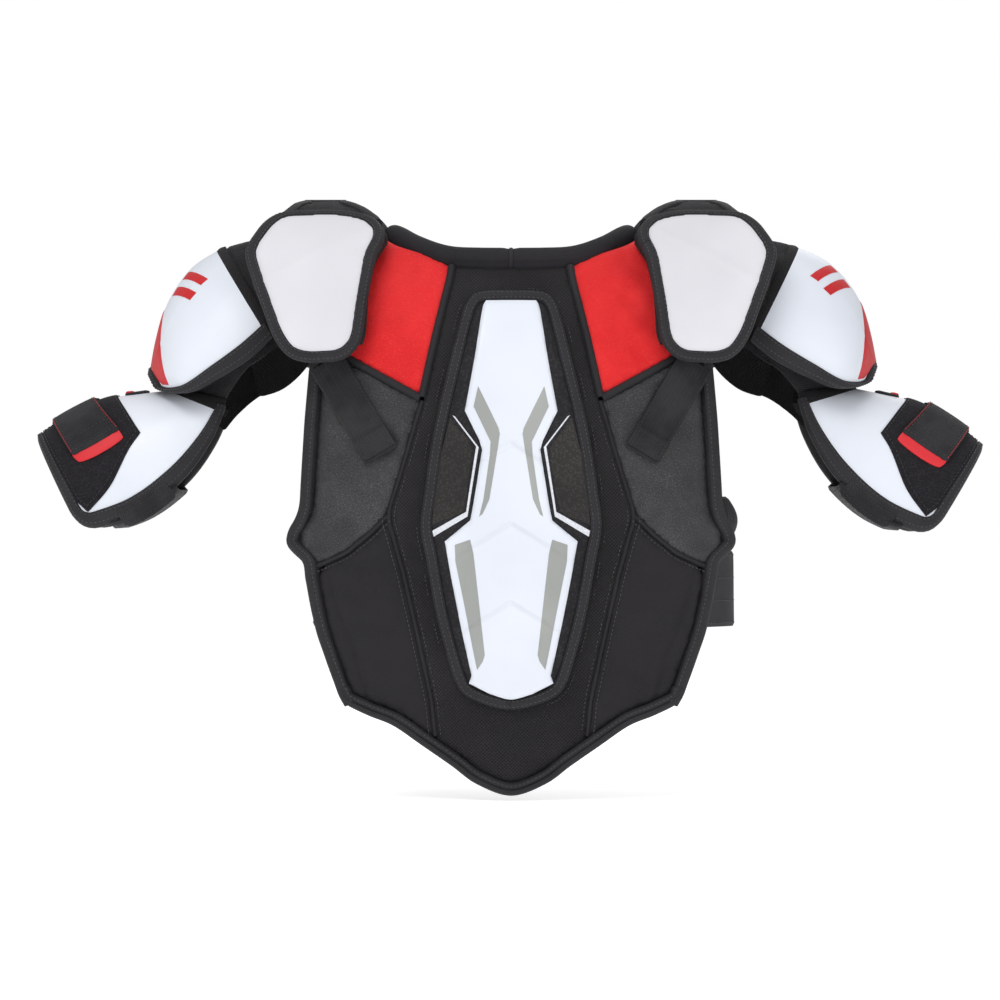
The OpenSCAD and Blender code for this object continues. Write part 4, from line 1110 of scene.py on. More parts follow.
# ------------------------------------------------------------------ collar
NECK = [[0.0, -63, 184], [25, -62.5, 184.5], [50, -57, 186.5], [73, -42, 195], [88, -20, 204], [91, 5, 205], [83, 32, 196], [66, 54, 178], [44, 68, 160], [22, 76, 148], [0.0, 79, 143]]


def tube(path, radius, n=20, caps=True, squash=1.0, bumps=0.0, up=(0, 0, 1)):
    path = np.asarray(path, float)
    T = unit(np.gradient(path, axis=0))
    up = np.asarray(up, float)
    N = unit(np.cross(T, up))
    B = np.cross(N, T)
    r = np.broadcast_to(np.asarray(radius, float), (len(path),))
    a = np.arange(n) * 2 * np.pi / n
    L = np.concatenate([[0], np.cumsum(np.linalg.norm(np.diff(path, axis=0), axis=1))])
    rr = r[:, None] * (1 + bumps * np.sin(L[:, None] / 9.0 + 1.3 * np.sin(a)[None]) * np.sin(L[:, None] / 23.0))
    R = path[:, None] + rr[..., None] * (np.cos(a)[None, :, None] * N[:, None] + squash * np.sin(a)[None, :, None] * B[:, None])
    return loft(R, False, L)


t = np.linspace(0, 1, 150)
neck = curve(NECK, t)
neck[:, 0] = np.maximum(neck[:, 0], 0.15)
Ln = np.concatenate([[0], np.cumsum(np.linalg.norm(np.diff(neck, axis=0), axis=1))])
rad = np.interp(t, [0, 0.004, 0.012, 0.035, 0.4, 0.6, 0.985, 0.995, 1.0], [7.4, 8.2, 8.8, 9.5, 8.8, 8.0, 7.8, 7.0, 6.4])
for sd, nm in SIDES:
    make(f"collar_roll_{nm}", tube(neck, rad, 28, squash=1.08, bumps=0.012), M["collar"], TORSO, sd, replaces=f"collar_{nm}")
    # seam along the roll
    q = neck.copy()
    Tn = unit(np.gradient(neck, axis=0))
    Nn = unit(np.cross(Tn, (0, 0, 1)))
    Bn = np.cross(Nn, Tn)
    line = neck + (np.cos(-0.9) * Nn + 1.08 * np.sin(-0.9) * Bn) * (rad[:, None] + 0.1)
    make(f"collar_seam_{nm}", tube(line[3:-3], 0.8, 8), M["piping"], TORSO, sd)
a = np.linspace(0, 2 * np.pi, 40, endpoint=False)
ringc = np.stack([np.zeros(40), -63 + 9.1 * np.cos(a), 184 + 9.9 * np.sin(a)], 1)
ringf = np.stack([np.zeros(40), 79 + 7.4 * np.cos(a), 143 + 8.0 * np.sin(a)], 1)


def hoop(P, w, h):
    c = P.mean(0)
    o = unit(P - c)
    prof = [(-w, 0), (-w * 0.6, h), (0, h * 1.25), (w * 0.6, h), (w, 0), (0, -h)]
    R = np.stack([P + np.array([x, 0, 0]) + o * y for x, y in prof], 1)
    m, n = R.shape[:2]
    F = [(i * n + j, i * n + (j + 1) % n, ((i + 1) % m) * n + (j + 1) % n, ((i + 1) % m) * n + j) for i in range(m) for j in range(n)]
    UV = np.stack(np.meshgrid(np.arange(m) * 1.5, np.arange(n) * 1.0, indexing="ij"), -1).reshape(-1, 2) * MM
    return R.reshape(-1, 3), F, UV


make("collar_joins", join(hoop(ringc, 1.6, 0.5), hoop(ringf, 1.6, 0.5)), M["piping"], TORSO)

# ------------------------------------------------------------------ webbing at the back of the shoulder
wa, wb = np.array([98.0, 34.0]), np.array([140.0, 105.0])
for sd, nm in SIDES:
    path = _resample(np.vstack([wa, wb]), 2.5)
    first = smooth([(88, 22.5), (98, 39)], step=2.5, closed=False)
    make(f"shoulder_webbing_{nm}", join(sweep(S_back, path, flat_profile(28, 2.2, 2.3, 0.9), closed=False),
         sweep(S_back, _resample(np.array([[99.2, 36.0], [107.4, 49.8]]), 2.5), flat_profile(28.3, 4.3, 1.9, 0.9), closed=False)),
         M["web"], TORSO, sd, replaces="rear_webbing")
    u2 = unit(wb - wa)
    n2 = np.array([u2[1], -u2[0]])
    c0, c1 = wa + u2 * 4, wa + u2 * 16
    box = [c0 - n2 * 11, c0 + n2 * 11, c1 + n2 * 11, c1 - n2 * 11, c0 - n2 * 11, c1 + n2 * 11]
    make(f"shoulder_webbing_stitches_{nm}", join(*[stitches(S_back, _resample(np.vstack([p, q]), 2), 6.25, closed=False, pitch=2.6, length=1.9) for p, q in zip(box[:-1], box[1:])],
         stitches(S_back, path, 4.55, 12.3, closed=False), stitches(S_back, path, 4.55, -12.3, closed=False)), M["thread"], TORSO, sd)

# ------------------------------------------------------------------ pads over the shoulders
BRIDGE = np.array([[208, -45, 101, 149], [214, -33, 102, 149], [218, -16, 102, 148], [219, 4, 102, 147], [216, 22, 100, 146], [207, 38, 97, 145], [195, 50, 93, 144], [180, 63, 74, 143], [160, 79, 50, 142], [136.5, 94, 22, 141]], float)
BL, BW = 210.0, 60.0


def bridge_raw(a, b):
    r = curve(BRIDGE, a / BL)
    x = r[..., 2] + (r[..., 3] - r[..., 2]) * b / BW
    k = np.clip(np.abs(r[..., 1]) / 25, 0, 1)
    return stack(x, r[..., 1] * (1 + (round_side(x) - 1) * k), r[..., 0] - np.maximum(x - 125, 0) * 0.16)


S_bridge = surface(bridge_raw, flip=-1)
bo = smooth([(0.5, -5.0), (BL - 0.5, -5.0), (BL - 0.5, BW - 0.5), (0.5, BW - 0.5)], corners=[0, 1, 2, 3], step=3)
_n = S_bridge(np.array([60.0]), np.array([30.0]), 5.0)[0] - S_bridge(np.array([60.0]), np.array([30.0]), 0.0)[0]
if _n[2] < 0:
    S_bridge = surface(bridge_raw, flip=1)
bg = [smooth([(a0, 0), (a0, BW)], step=4, closed=False) for a0 in (52, 96, 140, 178)]
for sd, nm in SIDES:
    make(f"shoulder_pad_{nm}", pad(S_bridge, bo, 0.0, -9.0, step=4.5, rnd=6, drop=3.2, grooves=[(l, 2.4, 2.0) for l in bg], wobble=(0.4, 28, 21)), M["mesh"], TORSO, sd, replaces=f"shoulder_bridge_{nm}")
    bt = np.array([[2.0, 4.0], [BL - 3, 4.0]])
    make(f"shoulder_pad_stitches_{nm}", join(*[stitches(S_bridge, l, -1.6, 2.2, closed=False) for l in bg]), M["thread_grey"], TORSO, sd)

# ------------------------------------------------------------------ chest
chest_r = [(0, -53.4), (60, -53.4), (100, -53.4), (116, -50)] + [(float(interp(z, CHESTX)) - T_BIND - 0.4, z) for z in (-40, -28, -10, 20, 60, 108, 134)] + [(100, 137), (55, 137), (25, 136), (0, 135)]
chest_out = smooth(chest_r + [(-x, z) for x, z in chest_r[-2:0:-1]], corners=[10, 2 * len(chest_r) - 2 - 10], step=3)
cg = [smooth([(s * 42, -50), (s * 44, 0), (s * 43, 60), (s * 38, 132)], step=5, closed=False) for s in (-1, 1)]
cg += [smooth([(s * 44, 20), (s * 90, 16), (s * 130, 14)], step=5, closed=False) for s in (-1, 1)]
make("chest_pad", pad(S_chest, ccw(chest_out), -0.4, -T_PANEL, step=5.0, rnd=7, drop=3.2, grooves=[(g_, 2.6, 2.4) for g_ in cg], wobble=(0.4, 36, 31), sim=inflate(0.9, 2.2)),
     M["mesh"], TORSO, replaces="chest_panel")
make("chest_seam_stitching", join(*[stitches(S_chest, g_, -1.6, o, closed=False) for g_ in cg for o in (2.4, -2.4)]), M["thread_grey"], TORSO)
cside = smooth([(117, -61.5), (126, -56), (130, -48)] + [(float(interp(z, CHESTX)), z) for z in (-30, 20, 60, 108, 134)], step=3, closed=False)
chem = smooth([(x, -62) for x in (-112, -80, -40, 0, 40, 80, 112)], step=3, closed=False)
ctop = smooth([(x, z) for x, z in ((134, 139), (100, 139.5), (60, 139.5), (24, 138), (0, 137), (-24, 138), (-60, 139.5), (-100, 139.5), (-134, 139))], step=3, closed=False)
cedge = smooth([(-x, z) for x, z in [(float(interp(z, CHESTX)), z) for z in (134, 108, 60, 20, -30)] + [(130, -48), (126, -56), (117, -61.5)]] + [(x, -62) for x in (-80, -40, 0, 40, 80)] + [(117, -61.5), (126, -56), (130, -48)] + [(float(interp(z, CHESTX)), z) for z in (-30, 20, 60, 108, 134)], step=3, closed=False)
make("chest_tape", sweep(S_chest, cedge, tape_profile(T_BIND, 0.6, -T_PANEL - 1), closed=False), M["tape"], TORSO, replaces="chest_edge_binding")
make("chest_tape_stitching", stitches(S_chest, cedge, 1.35, -6.2, closed=False), M["thread_grey"], TORSO)
cl_r = [(0, -52), (60, -52), (108, -50), (122, -40), (127, 20), (124, 60), (122, 108), (120, 128), (60, 130), (0, 128)]
cl_out = smooth(cl_r + [(-x, z) for x, z in cl_r[-2:0:-1]], corners=[7, 2 * len(cl_r) - 2 - 7], step=3.5)
cq = [smooth([(x, -50), (x, 128)], step=5, closed=False) for x in (-80, -40, 0, 40, 80)] + [smooth([(-130, z), (130, z)], step=5, closed=False) for z in (-20, 20, 60, 100)]
make("chest_lining", lining(S_chest, ccw(cl_out), cq), M["lining"], TORSO, replaces="chest_liner")

STERNUM = [[0, -18], [16, -12], [30, 18], [38, 66], [34, 112], [24, 126], [0, 124], [-24, 126], [-34, 112], [-38, 66], [-30, 18], [-16, -12]]
PEC = [[48, 44], [62, 24], [96, 26], [116, 48], [119, 86], [104, 112], [70, 120], [46, 112]]


def stern_top(P):
    x, z = np.abs(P[:, 0]), P[:, 1]
    h = 5.0 + 1.6 * np.clip(1 - (x / 34) ** 2, 0, 1)
    for z0 in (88, 52, 16):
        s = z0 - (z + 0.5 * x)
        h = h + np.where(s > 0, 1.1 * np.exp(-s / 12), 1.1 * np.exp(-(s / 1.3) ** 2))
    return h


def pec_top(P):
    return 5.0 + 2.0 * np.exp(-(((P[:, 0] - 84) / 30) ** 2 + ((P[:, 1] - 72) / 40) ** 2)) + 0.7 * np.exp(-(np.abs(P[:, 1] - 72 - 0.35 * (P[:, 0] - 84)) / 2.0) ** 2)


make("sternum_shield", plate(S_chest, ccw(smooth(STERNUM, corners=[0, 2, 5, 7, 10], step=2.2)), stern_top, 1.0, step=2.6, bevel=3, drop=1.6), M["white"], TORSO, replaces="sternum_plate")
PT, PR = (52, 54), 0
for sd, nm in SIDES:
    make(f"chest_shield_{nm}", plate(S_chest, ccw(smooth(PEC, corners=[0, 7], step=2.2)), pec_top, 1.0, step=2.8, bevel=3, drop=1.6), M["white"], TORSO, sd, replaces="chest_plates")
    inlay(f"chest_inlay_{nm}", [(58, 96), (96, 88), (106, 70), (100, 68), (92, 80), (58, 88)], pec_top, M["plastic_red"], sd, S=S_chest, t=0.3)
    inlay(f"sternum_inlay_{nm}", [(9, 110), (24, 96), (26, 60), (21, 60), (19, 90), (7, 102)], stern_top, M["grey"], sd, S=S_chest, t=0.3)
    LP = [(56, -44), (110, -42), (122, -6), (120, 10), (58, 10)]
    lp = smooth(LP, corners=range(5), step=2.5)
    make(f"chest_pile_{nm}", plate(S_chest, ccw(lp), 3.6, 0.5, step=4, bevel=2, drop=1.0), M["pile"], TORSO, sd, replaces="chest_loop_patches")
    make(f"chest_pile_stitching_{nm}", stitches(S_chest, ring_in(ccw(lp), 2.6), 3.5), M["thread"], TORSO, sd)
    # rows of stitching that hold the hard plates
    make(f"chest_shield_stitching_{nm}", stitches(S_chest, shift(ccw(smooth(PEC, corners=[0, 7], step=2.2)), 3.4), 0.2), M["thread_grey"], TORSO, sd)

# ------------------------------------------------------------------ straps round the ribs
EL = [[154, -50], [162, -40], [166, -20], [166, 2], [163, 26], [154, 48], [140, 62], [124, 72]]
RIM = (lambda z: S_back(np.array([float(interp(z, EDGE_CAD))]), np.array([z]), -12.0)[0] + np.array([2.4, 0.8, 0]))
ROOT = (lambda z: S_back(np.array([float(interp(z, EDGE)) - 3.0]), np.array([z]), -12.4)[0])
BELLY = {1: [[168, -28], [171.5, 0], [168, 32], [159.5, 63], [143, 89], [120, 106], [96, 113]],
         -1: [[151, -28], [150, 2], [150, 34], [147, 64], [139, 91], [119, 106], [96, 113]]}


def ribbon(at, n, m, t, edge=0.9):
    """A flat strap from at(s, k) -> points, s along and k across, thickened by t with soft edges."""
    s, k = np.linspace(0, 1, n), np.linspace(0, 1, m)
    P = at(*np.meshgrid(s, k, indexing="ij"))
    ds, dk = np.gradient(P, axis=0), np.gradient(P, axis=1)
    N = unit(np.cross(ds, dk))
    if N[n // 2, m // 2, 0] < 0:
        N = -N
    w = np.linalg.norm(P[n // 2, -1] - P[n // 2, 0])
    e = np.minimum(k, 1 - k) * w
    r = np.sqrt(np.clip(1 - (1 - np.clip(e / edge, 0, 1)) ** 2, 0.04, 1))
    up = t / 2 + t / 2 * r
    dn = t / 2 - t / 2 * r
    R = np.concatenate([P + N * up[None, :, None], (P + N * dn[None, :, None])[:, ::-1]], axis=1)
    c = P[:, m // 2]
    L = np.concatenate([[0], np.cumsum(np.linalg.norm(np.diff(c, axis=0), axis=1))])
    V, F, UV = loft(R, False, L)
    return V, F, UV


for sd, nm in SIDES:
    B = BELLY[sd]

    def belly(s, k, off=0.0, B=B):
        z = -98 + 58 * k
        P0 = np.stack([ROOT(q)[:2] for q in np.linspace(-98, -40, 9)])
        out = np.zeros(s.shape + (3,))
        for j in range(s.shape[1]):
            zz = z[0, j]
            p0 = [np.interp(zz, np.linspace(-98, -40, 9), P0[:, 0]), np.interp(zz, np.linspace(-98, -40, 9), P0[:, 1])]
            xy = curve([p0] + B, s[:, j])
            e = np.clip((s[:, j] - 0.45) / 0.55, 0, None) ** 1.3
            lo, hi = -98 + 44 * e, -40 + 34 * e
            out[:, j, 0], out[:, j, 1], out[:, j, 2] = xy[:, 0], xy[:, 1], lo + (hi - lo) * k[0, j]
        return out

    g = ribbon(belly, 90, 26, 2.4, 1.1)
    p0_, p1_ = RIM(-69.0), np.array(list(curve(np.array([list(RIM(-69.0)[:2])] + B, float), np.array([0.17]))[0]) + [-69.0])
    bend = (TORSO, f"belly_strap_body_{nm}", tuple(p0_ * MM * np.array([sd, 1, 1])), tuple(p1_ * MM * np.array([sd, 1, 1])))
    make(f"belly_strap_{nm}_web", g, M["tape"], bend, sd, replaces=f"belly_strap_{nm}")

    def sub(k0, k1, off, B=belly):
        def f(s, k):
            P = B(s, k)
            N = unit(np.cross(np.gradient(P, axis=0), np.gradient(P, axis=1)))
            N = N if N[s.shape[0] // 2, s.shape[1] // 2, 0] > 0 else -N
            return P + N * off
        return f
    # stitched rows along both edges and two between them
    s_ = np.linspace(0.03, 0.97, 120)
    rows = []
    for kk in (0.05, 0.95, 0.35, 0.65):
        ks = np.full((120, 3), kk) + np.array([-0.01, 0, 0.01])
        P = belly(np.repeat(s_[:, None], 3, 1), ks)
        N = unit(np.cross(np.gradient(P, axis=0), np.gradient(P, axis=1)))[:, 1]
        N = N if N[60, 0] > 0 else -N
        C = P[:, 1] + N * 2.45
        Lc = np.concatenate([[0], np.cumsum(np.linalg.norm(np.diff(C, axis=0), axis=1))])
        nst = int(Lc[-1] / 3.4)
        q = (np.arange(nst) + 0.5) * Lc[-1] / nst
        at = lambda v, A: np.stack([np.interp(v, Lc, A[:, i]) for i in range(3)], 1)
        rows.append(threads(at(q - 1.1, C), at(q + 1.1, C), unit(at(q, N)), 0.36))
    make(f"belly_strap_{nm}_stitches", join(*rows), M["thread_grey"], bend, sd)

    def elastic(s, k, sd=sd):
        xy = curve(EL, s)
        b = 9 * np.sin(np.pi * s) * np.sin(np.pi * k) if sd > 0 else -5.5 * np.sin(np.pi * s)
        ruck = 0.5 * np.sin(s * 2 * np.pi * 34) * np.sin(np.pi * k) ** 0.5
        return np.stack([xy[..., 0] + b + ruck, xy[..., 1], -34 + 36 * k], -1)

    make(f"side_elastic_{nm}", ribbon(elastic, 260, 17, 2.0, 0.9), M["tape"], TORSO, sd, replaces="side_elastics")

# ------------------------------------------------------------------ shoulder wings
S_wing_front = lambda x, b, d=0.0: S_wing(x, WB - np.asarray(b, float), d)
WING_SHELL = [(104.5, 205.5), (113, 215.5), (134, 219.5), (174, 218.6), (184, 211.5), (196, 192.5), (194.6, 184), (174, 128), (166, 116.5), (155, 113.4), (131, 114.6), (122.5, 123.5), (119.1, 151.4), (113, 188.7)]
_ws = rounded(WING_SHELL, 7, 1.8)
wing_shell = ccw(_resample(np.stack([np.append(_ws[:, 0], _ws[0, 0]), wing_b(np.append(_ws[:, 1], _ws[0, 1]))], axis=1), 2.2)[:-1])
wing_edge = shift(wing_shell, 8.2)
WING_LO = [[102, 138], [110, 116], [128, 110], [165, 108], [190, 103], [207, 94], [219, 101], [227, 111], [231, 119], [234, 127]]
WING_HI = [[103, 161], [112, 177], [134, 187], [168, 201], [186, 203], [206, 193], [225, 176], [231, 170], [234, 163]]


def wing_z(b):
    return wing_profile(np.full_like(np.asarray(b, float), 140.0), np.interp(b, _wb, _wa))[..., 2]


bs = np.linspace(float(np.interp(7, _wa, _wb)), float(np.interp(173, _wa, _wb)), 64)
lo_e = [(float(interp(wing_z(b_), WING_LO)) + 1.0, b_) for b_ in bs]
hi_e = [(float(interp(wing_z(b_), WING_HI)) - 1.0, b_) for b_ in bs]
wing_pad_out = ccw(smooth(lo_e + hi_e[::-1], corners=[0, 63, 64, 127], step=3.2))
MIDB = WB / 2


def wing_plate_top(P):
    x, b = P[:, 0], P[:, 1]
    h = 0.9 + 2.6 * np.exp(-(((x - 150) / 44) ** 2 + ((b - wing_b(170)) / 62) ** 2))
    line = (x - 150) * 0.62 + (b - float(wing_b(188)))
    return h + 0.55 * np.exp(-(line / 3.5) ** 2)


for sd, nm in SIDES:
    W = f"shoulder_wing_{nm}"
    band = lambda P: 1.6 * np.exp(-((P[:, 1] - MIDB) / 9) ** 4)
    make(f"wing_pad_{nm}_foam", pad(S_wing, wing_pad_out, -2.2, -12.6, step=4.6, rnd=5, drop=2.4, extra=band, wobble=(0.4, 30, 41), sim=inflate(0.8, 2.0)), M["mesh"], W, sd, replaces=f"wing_pad_{nm}")
    for S_, node, tag in ((S_wing, f"wing_rear_plate_{nm}", "rear"), (S_wing_front, f"wing_front_plate_{nm}", "front")):
        make(f"wing_{tag}_shell_{nm}", plate(S_, shift(wing_shell, 1.5), wing_plate_top, -2.0, step=3.2, bevel=3, drop=1.2), M["wing_white"], W, sd, replaces=node)
        prof = [(-8.2, 0.2), (-7.8, 1.3), (-6, 2.2), (-4, 2.5), (-2, 2.3), (-0.2, 1.3), (0.9, -0.8), (0.9, -3.2), (-0.2, -5.4), (-2.5, -6.4), (-8.2, -6.2)]
        make(f"wing_{tag}_tape_{nm}", sweep(S_, wing_edge, prof), M["tape"], W, sd, replaces=f"wing_binding_{nm}")
        make(f"wing_{tag}_stitching_{nm}", join(stitches(S_, wing_edge, 2.3, -6.6), stitches(S_, wing_edge, 2.2, -1.8)), M["thread_grey"], W, sd)
    # tape down both sides of the ridge between the plates
    for tag, e in (("inner", lo_e), ("outer", hi_e)):
        seg = np.array([p for p in e if abs(p[1] - MIDB) < 62])
        seg = smooth(seg if tag == "inner" else seg[::-1], step=2.5, closed=False)
        seg = seg[::-1] if tag == "inner" else seg[::-1]
        pr = tape_profile(7, -0.6, -12.0)
        make(f"wing_ridge_tape_{tag}_{nm}", sweep(S_wing, seg, pr, closed=False), M["tape"], W, sd)
    rs = [_resample(np.array([[float(interp(wing_z(MIDB + o), WING_LO)) + 4, MIDB + o], [float(interp(wing_z(MIDB + o), WING_HI)) - 4, MIDB + o]]), 2.5) for o in (-9.5, 9.5)]
    make(f"wing_ridge_stitches_{nm}", join(*[stitches(S_wing, r_, -1.7, closed=False) for r_ in rs]), M["thread_grey"], W, sd)
    make(f"wing_ridge_seam_{nm}", sweep(S_wing, _resample(np.array([[129.0, MIDB], [161.0, MIDB]]), 2.5), [(-1.6, -2), (-1.2, 0.2), (0, 0.9), (1.2, 0.2), (1.6, -2)], closed=False), M["piping"], W, sd)


# ------------------------------------------------------------------ cups and arm guards
def rect(u0, u1, v0, v1, ul, vl, r=0, step=3.0, end_r=None):
    """Rectangle on an arch, corners rounded by r at the far end and end_r at the near end."""
    a0, a1, b0, b1 = u0 * ul, u1 * ul, v0 * vl, v1 * vl
    e = end_r or 0
    P = []
    for cx, cy, rr, t0 in ((a1, b0, r, -90), (a1, b1, r, 0), (a0, b1, e, 90), (a0, b0, e, 180)):
        sx, sy = (-1 if cx == a1 else 1), (1 if cy == b0 else -1)
        if rr <= 0:
            P.append((cx, cy))
        else:
            for k in range(7):
                t_ = math.radians(t0 + 90 * k / 6)
                P.append((cx + sx * rr + rr * math.cos(t_), cy + sy * rr + rr * math.sin(t_)))
    P = np.array(P)
    return ccw(_resample(np.vstack([P, P[:1]]), step)[:-1])


cup_full = rect(0, 1, 0.01, 0.99, CUP_UL, CUP_VL, r=16)
cup_in = rect(0, 0.975, 0.035, 0.965, CUP_UL, CUP_VL, r=13)
gu_full = rect(0, 1, -0.004, 1.004, GU_UL, GU_VL, r=13)
gu_in = rect(0.05, 0.965, 0.02, 0.98, GU_UL, GU_VL, r=9)


def open_edge(outline, a_min, ul):
    """The part of a closed outline past a_min, as an open line that still runs anticlockwise."""
    m = outline[:, 0] > a_min
    i0 = np.where(~m & np.roll(m, -1))[0][0] + 1
    Q = np.roll(outline, -i0, axis=0)
    return Q[:int(m.sum())]


cup_edge, gu_edge = open_edge(cup_full, 2.0, CUP_UL), open_edge(gu_full, 2.0, GU_UL)


CROWN = {1: 6.5, -1: 2.0}


def cup_top(P, side=1):
    u, v = P[:, 0] / CUP_UL, P[:, 1] / CUP_VL
    h = 0.2 + CROWN[side] * np.exp(-(((u - 0.5) / 0.42) ** 2 + ((v - 0.5) / 0.24) ** 2))
    return h + 0.35 * np.exp(-((np.abs(v - 0.5) - 0.17) / 0.012) ** 2) * np.clip(u * 3, 0, 1)


def gu_top(P):
    u, v = P[:, 0] / GU_UL, P[:, 1] / GU_VL
    return 0.2 + 0.9 * np.exp(-(((u - 0.5) / 0.4) ** 2 + ((v - 0.35) / 0.3) ** 2)) + 0.9 * np.exp(-(((u - 0.5) / 0.4) ** 2 + ((v - 0.72) / 0.2) ** 2))


CRES = [(0.55, 0.50), (0.61, 0.42), (0.69, 0.36), (0.77, 0.28), (0.825, 0.18), (0.85, 0.075), (0.90, 0.09), (0.93, 0.20), (0.945, 0.35), (0.945, 0.5),
        (0.945, 0.65), (0.93, 0.80), (0.90, 0.91), (0.85, 0.925), (0.825, 0.82), (0.77, 0.72), (0.69, 0.64), (0.61, 0.58)]
BARS = ([(0.20, 0.30), (0.26, 0.30), (0.34, 0.44), (0.28, 0.44)], [(0.31, 0.29), (0.37, 0.29), (0.45, 0.43), (0.39, 0.43)])
for sd, nm in SIDES:
    C, GN = f"shoulder_cup_{nm}", f"upper_arm_guard_{nm}"
    ct = lambda P, sd=sd: cup_top(P, sd)
    make(f"cup_dome_{nm}", plate(S_cup, cup_in, ct, -2.4, step=2.6, bevel=2.5, drop=0.9), M["white"], C, sd, "cup", replaces=f"cup_shell_{nm}")
    prof = [(-9.4, 0.6), (-9.0, 1.8), (-7.4, 2.5), (-5, 2.9), (-2.6, 2.6), (-0.6, 1.6), (0.9, -0.6), (1.1, -3), (0.3, -5.6), (-2, -7.0), (-9.4, -6.8)]
    make(f"cup_tape_{nm}", sweep(S_cup, cup_edge, prof, closed=False), M["tape"], C, sd, "cup", replaces=f"cup_binding_{nm}")
    make(f"cup_stitching_{nm}", join(stitches(S_cup, cup_edge, 2.65, -7.4, closed=False), stitches(S_cup, cup_edge, 2.5, -2.2, closed=False)), M["thread_grey"], C, sd, "cup")
    cup_lin = rect(0.0, 0.965, 0.0, 1.0, CUP_UL, CUP_VL, r=12, step=3.5)
    cql = [smooth([(a_, 0), (a_, CUP_VL)], step=5, closed=False) for a_ in (32, 64)] + [smooth([(0, b_), (CUP_UL, b_)], step=5, closed=False) for b_ in (50, 106, 162)]
    make(f"cup_padding_{nm}", lining(S_cup, cup_lin, cql, step=5, base=-7.6, depth=2.2), M["lining"], C, sd, "cup", replaces=f"cup_liner_{nm}")
    sc = lambda pts, ul, vl: [(u_ * ul, v_ * vl) for u_, v_ in pts]
    inlay(f"cup_crescent_{nm}", sc(CRES, CUP_UL, CUP_VL), ct, M["plastic_red"], sd, corners=[5, 6, 12, 13], S=S_cup, kind="cup", body=C, t=0.6)
    for i, bar in enumerate(BARS):
        inlay(f"cup_bar_{i}_{nm}", sc(bar, CUP_UL, CUP_VL), ct, M["plastic_red"], sd, S=S_cup, kind="cup", body=C, t=0.6)
    near = rect(-0.02, 0.066, 0.03, 0.97, CUP_UL, CUP_VL, r=2, end_r=2, step=2.5)
    make(f"cup_collar_cloth_{nm}", plate(S_cup, near, lambda P, sd=sd: cup_top(P, sd) + 0.9, -2.0, step=3.4, bevel=1.5, drop=0.9), M["mesh"], C, sd, "cup")
    # black fabric that joins the cup to the torso under the wing, and the sleeve under it
    tf = rect(0.02, 0.985, 0.02, 0.98, 62, 200, r=3, step=3.5)
    make(f"cup_top_cloth_{nm}", pad(S_topf, tf, 0.4, -2.2, step=4.5, rnd=3, drop=1.0, wobble=(1.0, 26, 51 + sd)), M["mesh"], (TORSO, C, (0.158 * sd, 0, 0.17), (0.216 * sd, 0, 0.16)), sd, "torso", replaces=f"cup_top_fabric_{nm}")
    sa = rect(0.02, 0.98, 0.0, 1.0, 80, 170, r=3, step=3.5)
    make(f"sleeve_upper_{nm}", pad(S_sleeve_a, sa, -0.5, -3.4, step=4.5, rnd=4, drop=1.4, wobble=(1.0, 24, 61 + sd)), M["mesh"], (TORSO, C, (0.158 * sd, 0, 0.14), (0.21 * sd, 0, 0.13)), sd, "torso", replaces=f"arm_sleeve_{nm}")
    sb = rect(0.0, 0.98, 0.0, 1.0, 90, 150, r=3, step=3.5)
    make(f"sleeve_lower_{nm}", pad(S_sleeve_b, sb, -0.5, -3.4, step=4.5, rnd=4, drop=1.4, wobble=(1.0, 22, 71 + sd)), M["mesh"], (C, GN, (0.222 * sd, 0, 0.115), (0.256 * sd, 0, 0.085)), sd, "cup")

    make(f"guard_dome_{nm}", plate(S_guard, gu_in, gu_top, -1.8, step=3.4, bevel=2.2, drop=0.8), M["white"], GN, sd, "guard", replaces=f"guard_shell_{nm}")
    prof = [(-8.6, 0.4), (-8.2, 1.5), (-6.8, 2.2), (-4.4, 2.5), (-2.2, 2.2), (-0.5, 1.2), (0.9, -0.8), (1.2, -4), (0.4, -7.5), (-2, -9.6), (-8.6, -9.2)]
    make(f"guard_tape_{nm}", sweep(S_guard, gu_edge, prof, closed=False), M["tape"], GN, sd, "guard", replaces=f"guard_binding_{nm}")
    make(f"guard_stitching_{nm}", join(stitches(S_guard, gu_edge, 2.2, -7.0, closed=False), stitches(S_guard, gu_edge, 2.15, -2.2, closed=False)), M["thread_grey"], GN, sd, "guard")
    gnear = rect(-0.02, 0.085, 0.0, 1.0, GU_UL, GU_VL, r=2, end_r=2, step=2.5)
    make(f"guard_collar_cloth_{nm}", plate(S_guard, gnear, lambda P: gu_top(P) + 1.0, -3.0, step=3.4, bevel=1.5, drop=0.9), M["mesh"], GN, sd, "guard")
    gl = rect(0.0, 0.965, 0.0, 1.0, GU_UL, GU_VL, r=11, step=3.5)
    gql = [smooth([(a_, 0), (a_, GU_VL)], step=5, closed=False) for a_ in (36, 72, 104)] + [smooth([(0, b_), (GU_UL, b_)], step=5, closed=False) for b_ in (46, 94, 142)]
    make(f"guard_padding_{nm}", lining(S_guard, gl, gql, step=5, base=-9.6, depth=2.6), M["lining"], GN, sd, "guard", replaces=f"guard_liner_{nm}")
    PILE = [(0.40, 0.52), (0.43, 0.33), (0.475, 0.184), (0.625, 0.148), (0.915, 0.045), (0.94, 0.09), (0.945, 0.3), (0.945, 0.52)]
    pile = ccw(smooth(sc(PILE, GU_UL, GU_VL), corners=[0, 2, 4, 5, 7], step=2.5))
    make(f"guard_pile_{nm}", plate(S_guard, pile, lambda P: gu_top(P) + 1.6, -0.8, step=3.4, bevel=1.8, drop=0.9), M["pile"], GN, sd, "guard", replaces=f"guard_loop_panel_{nm}")
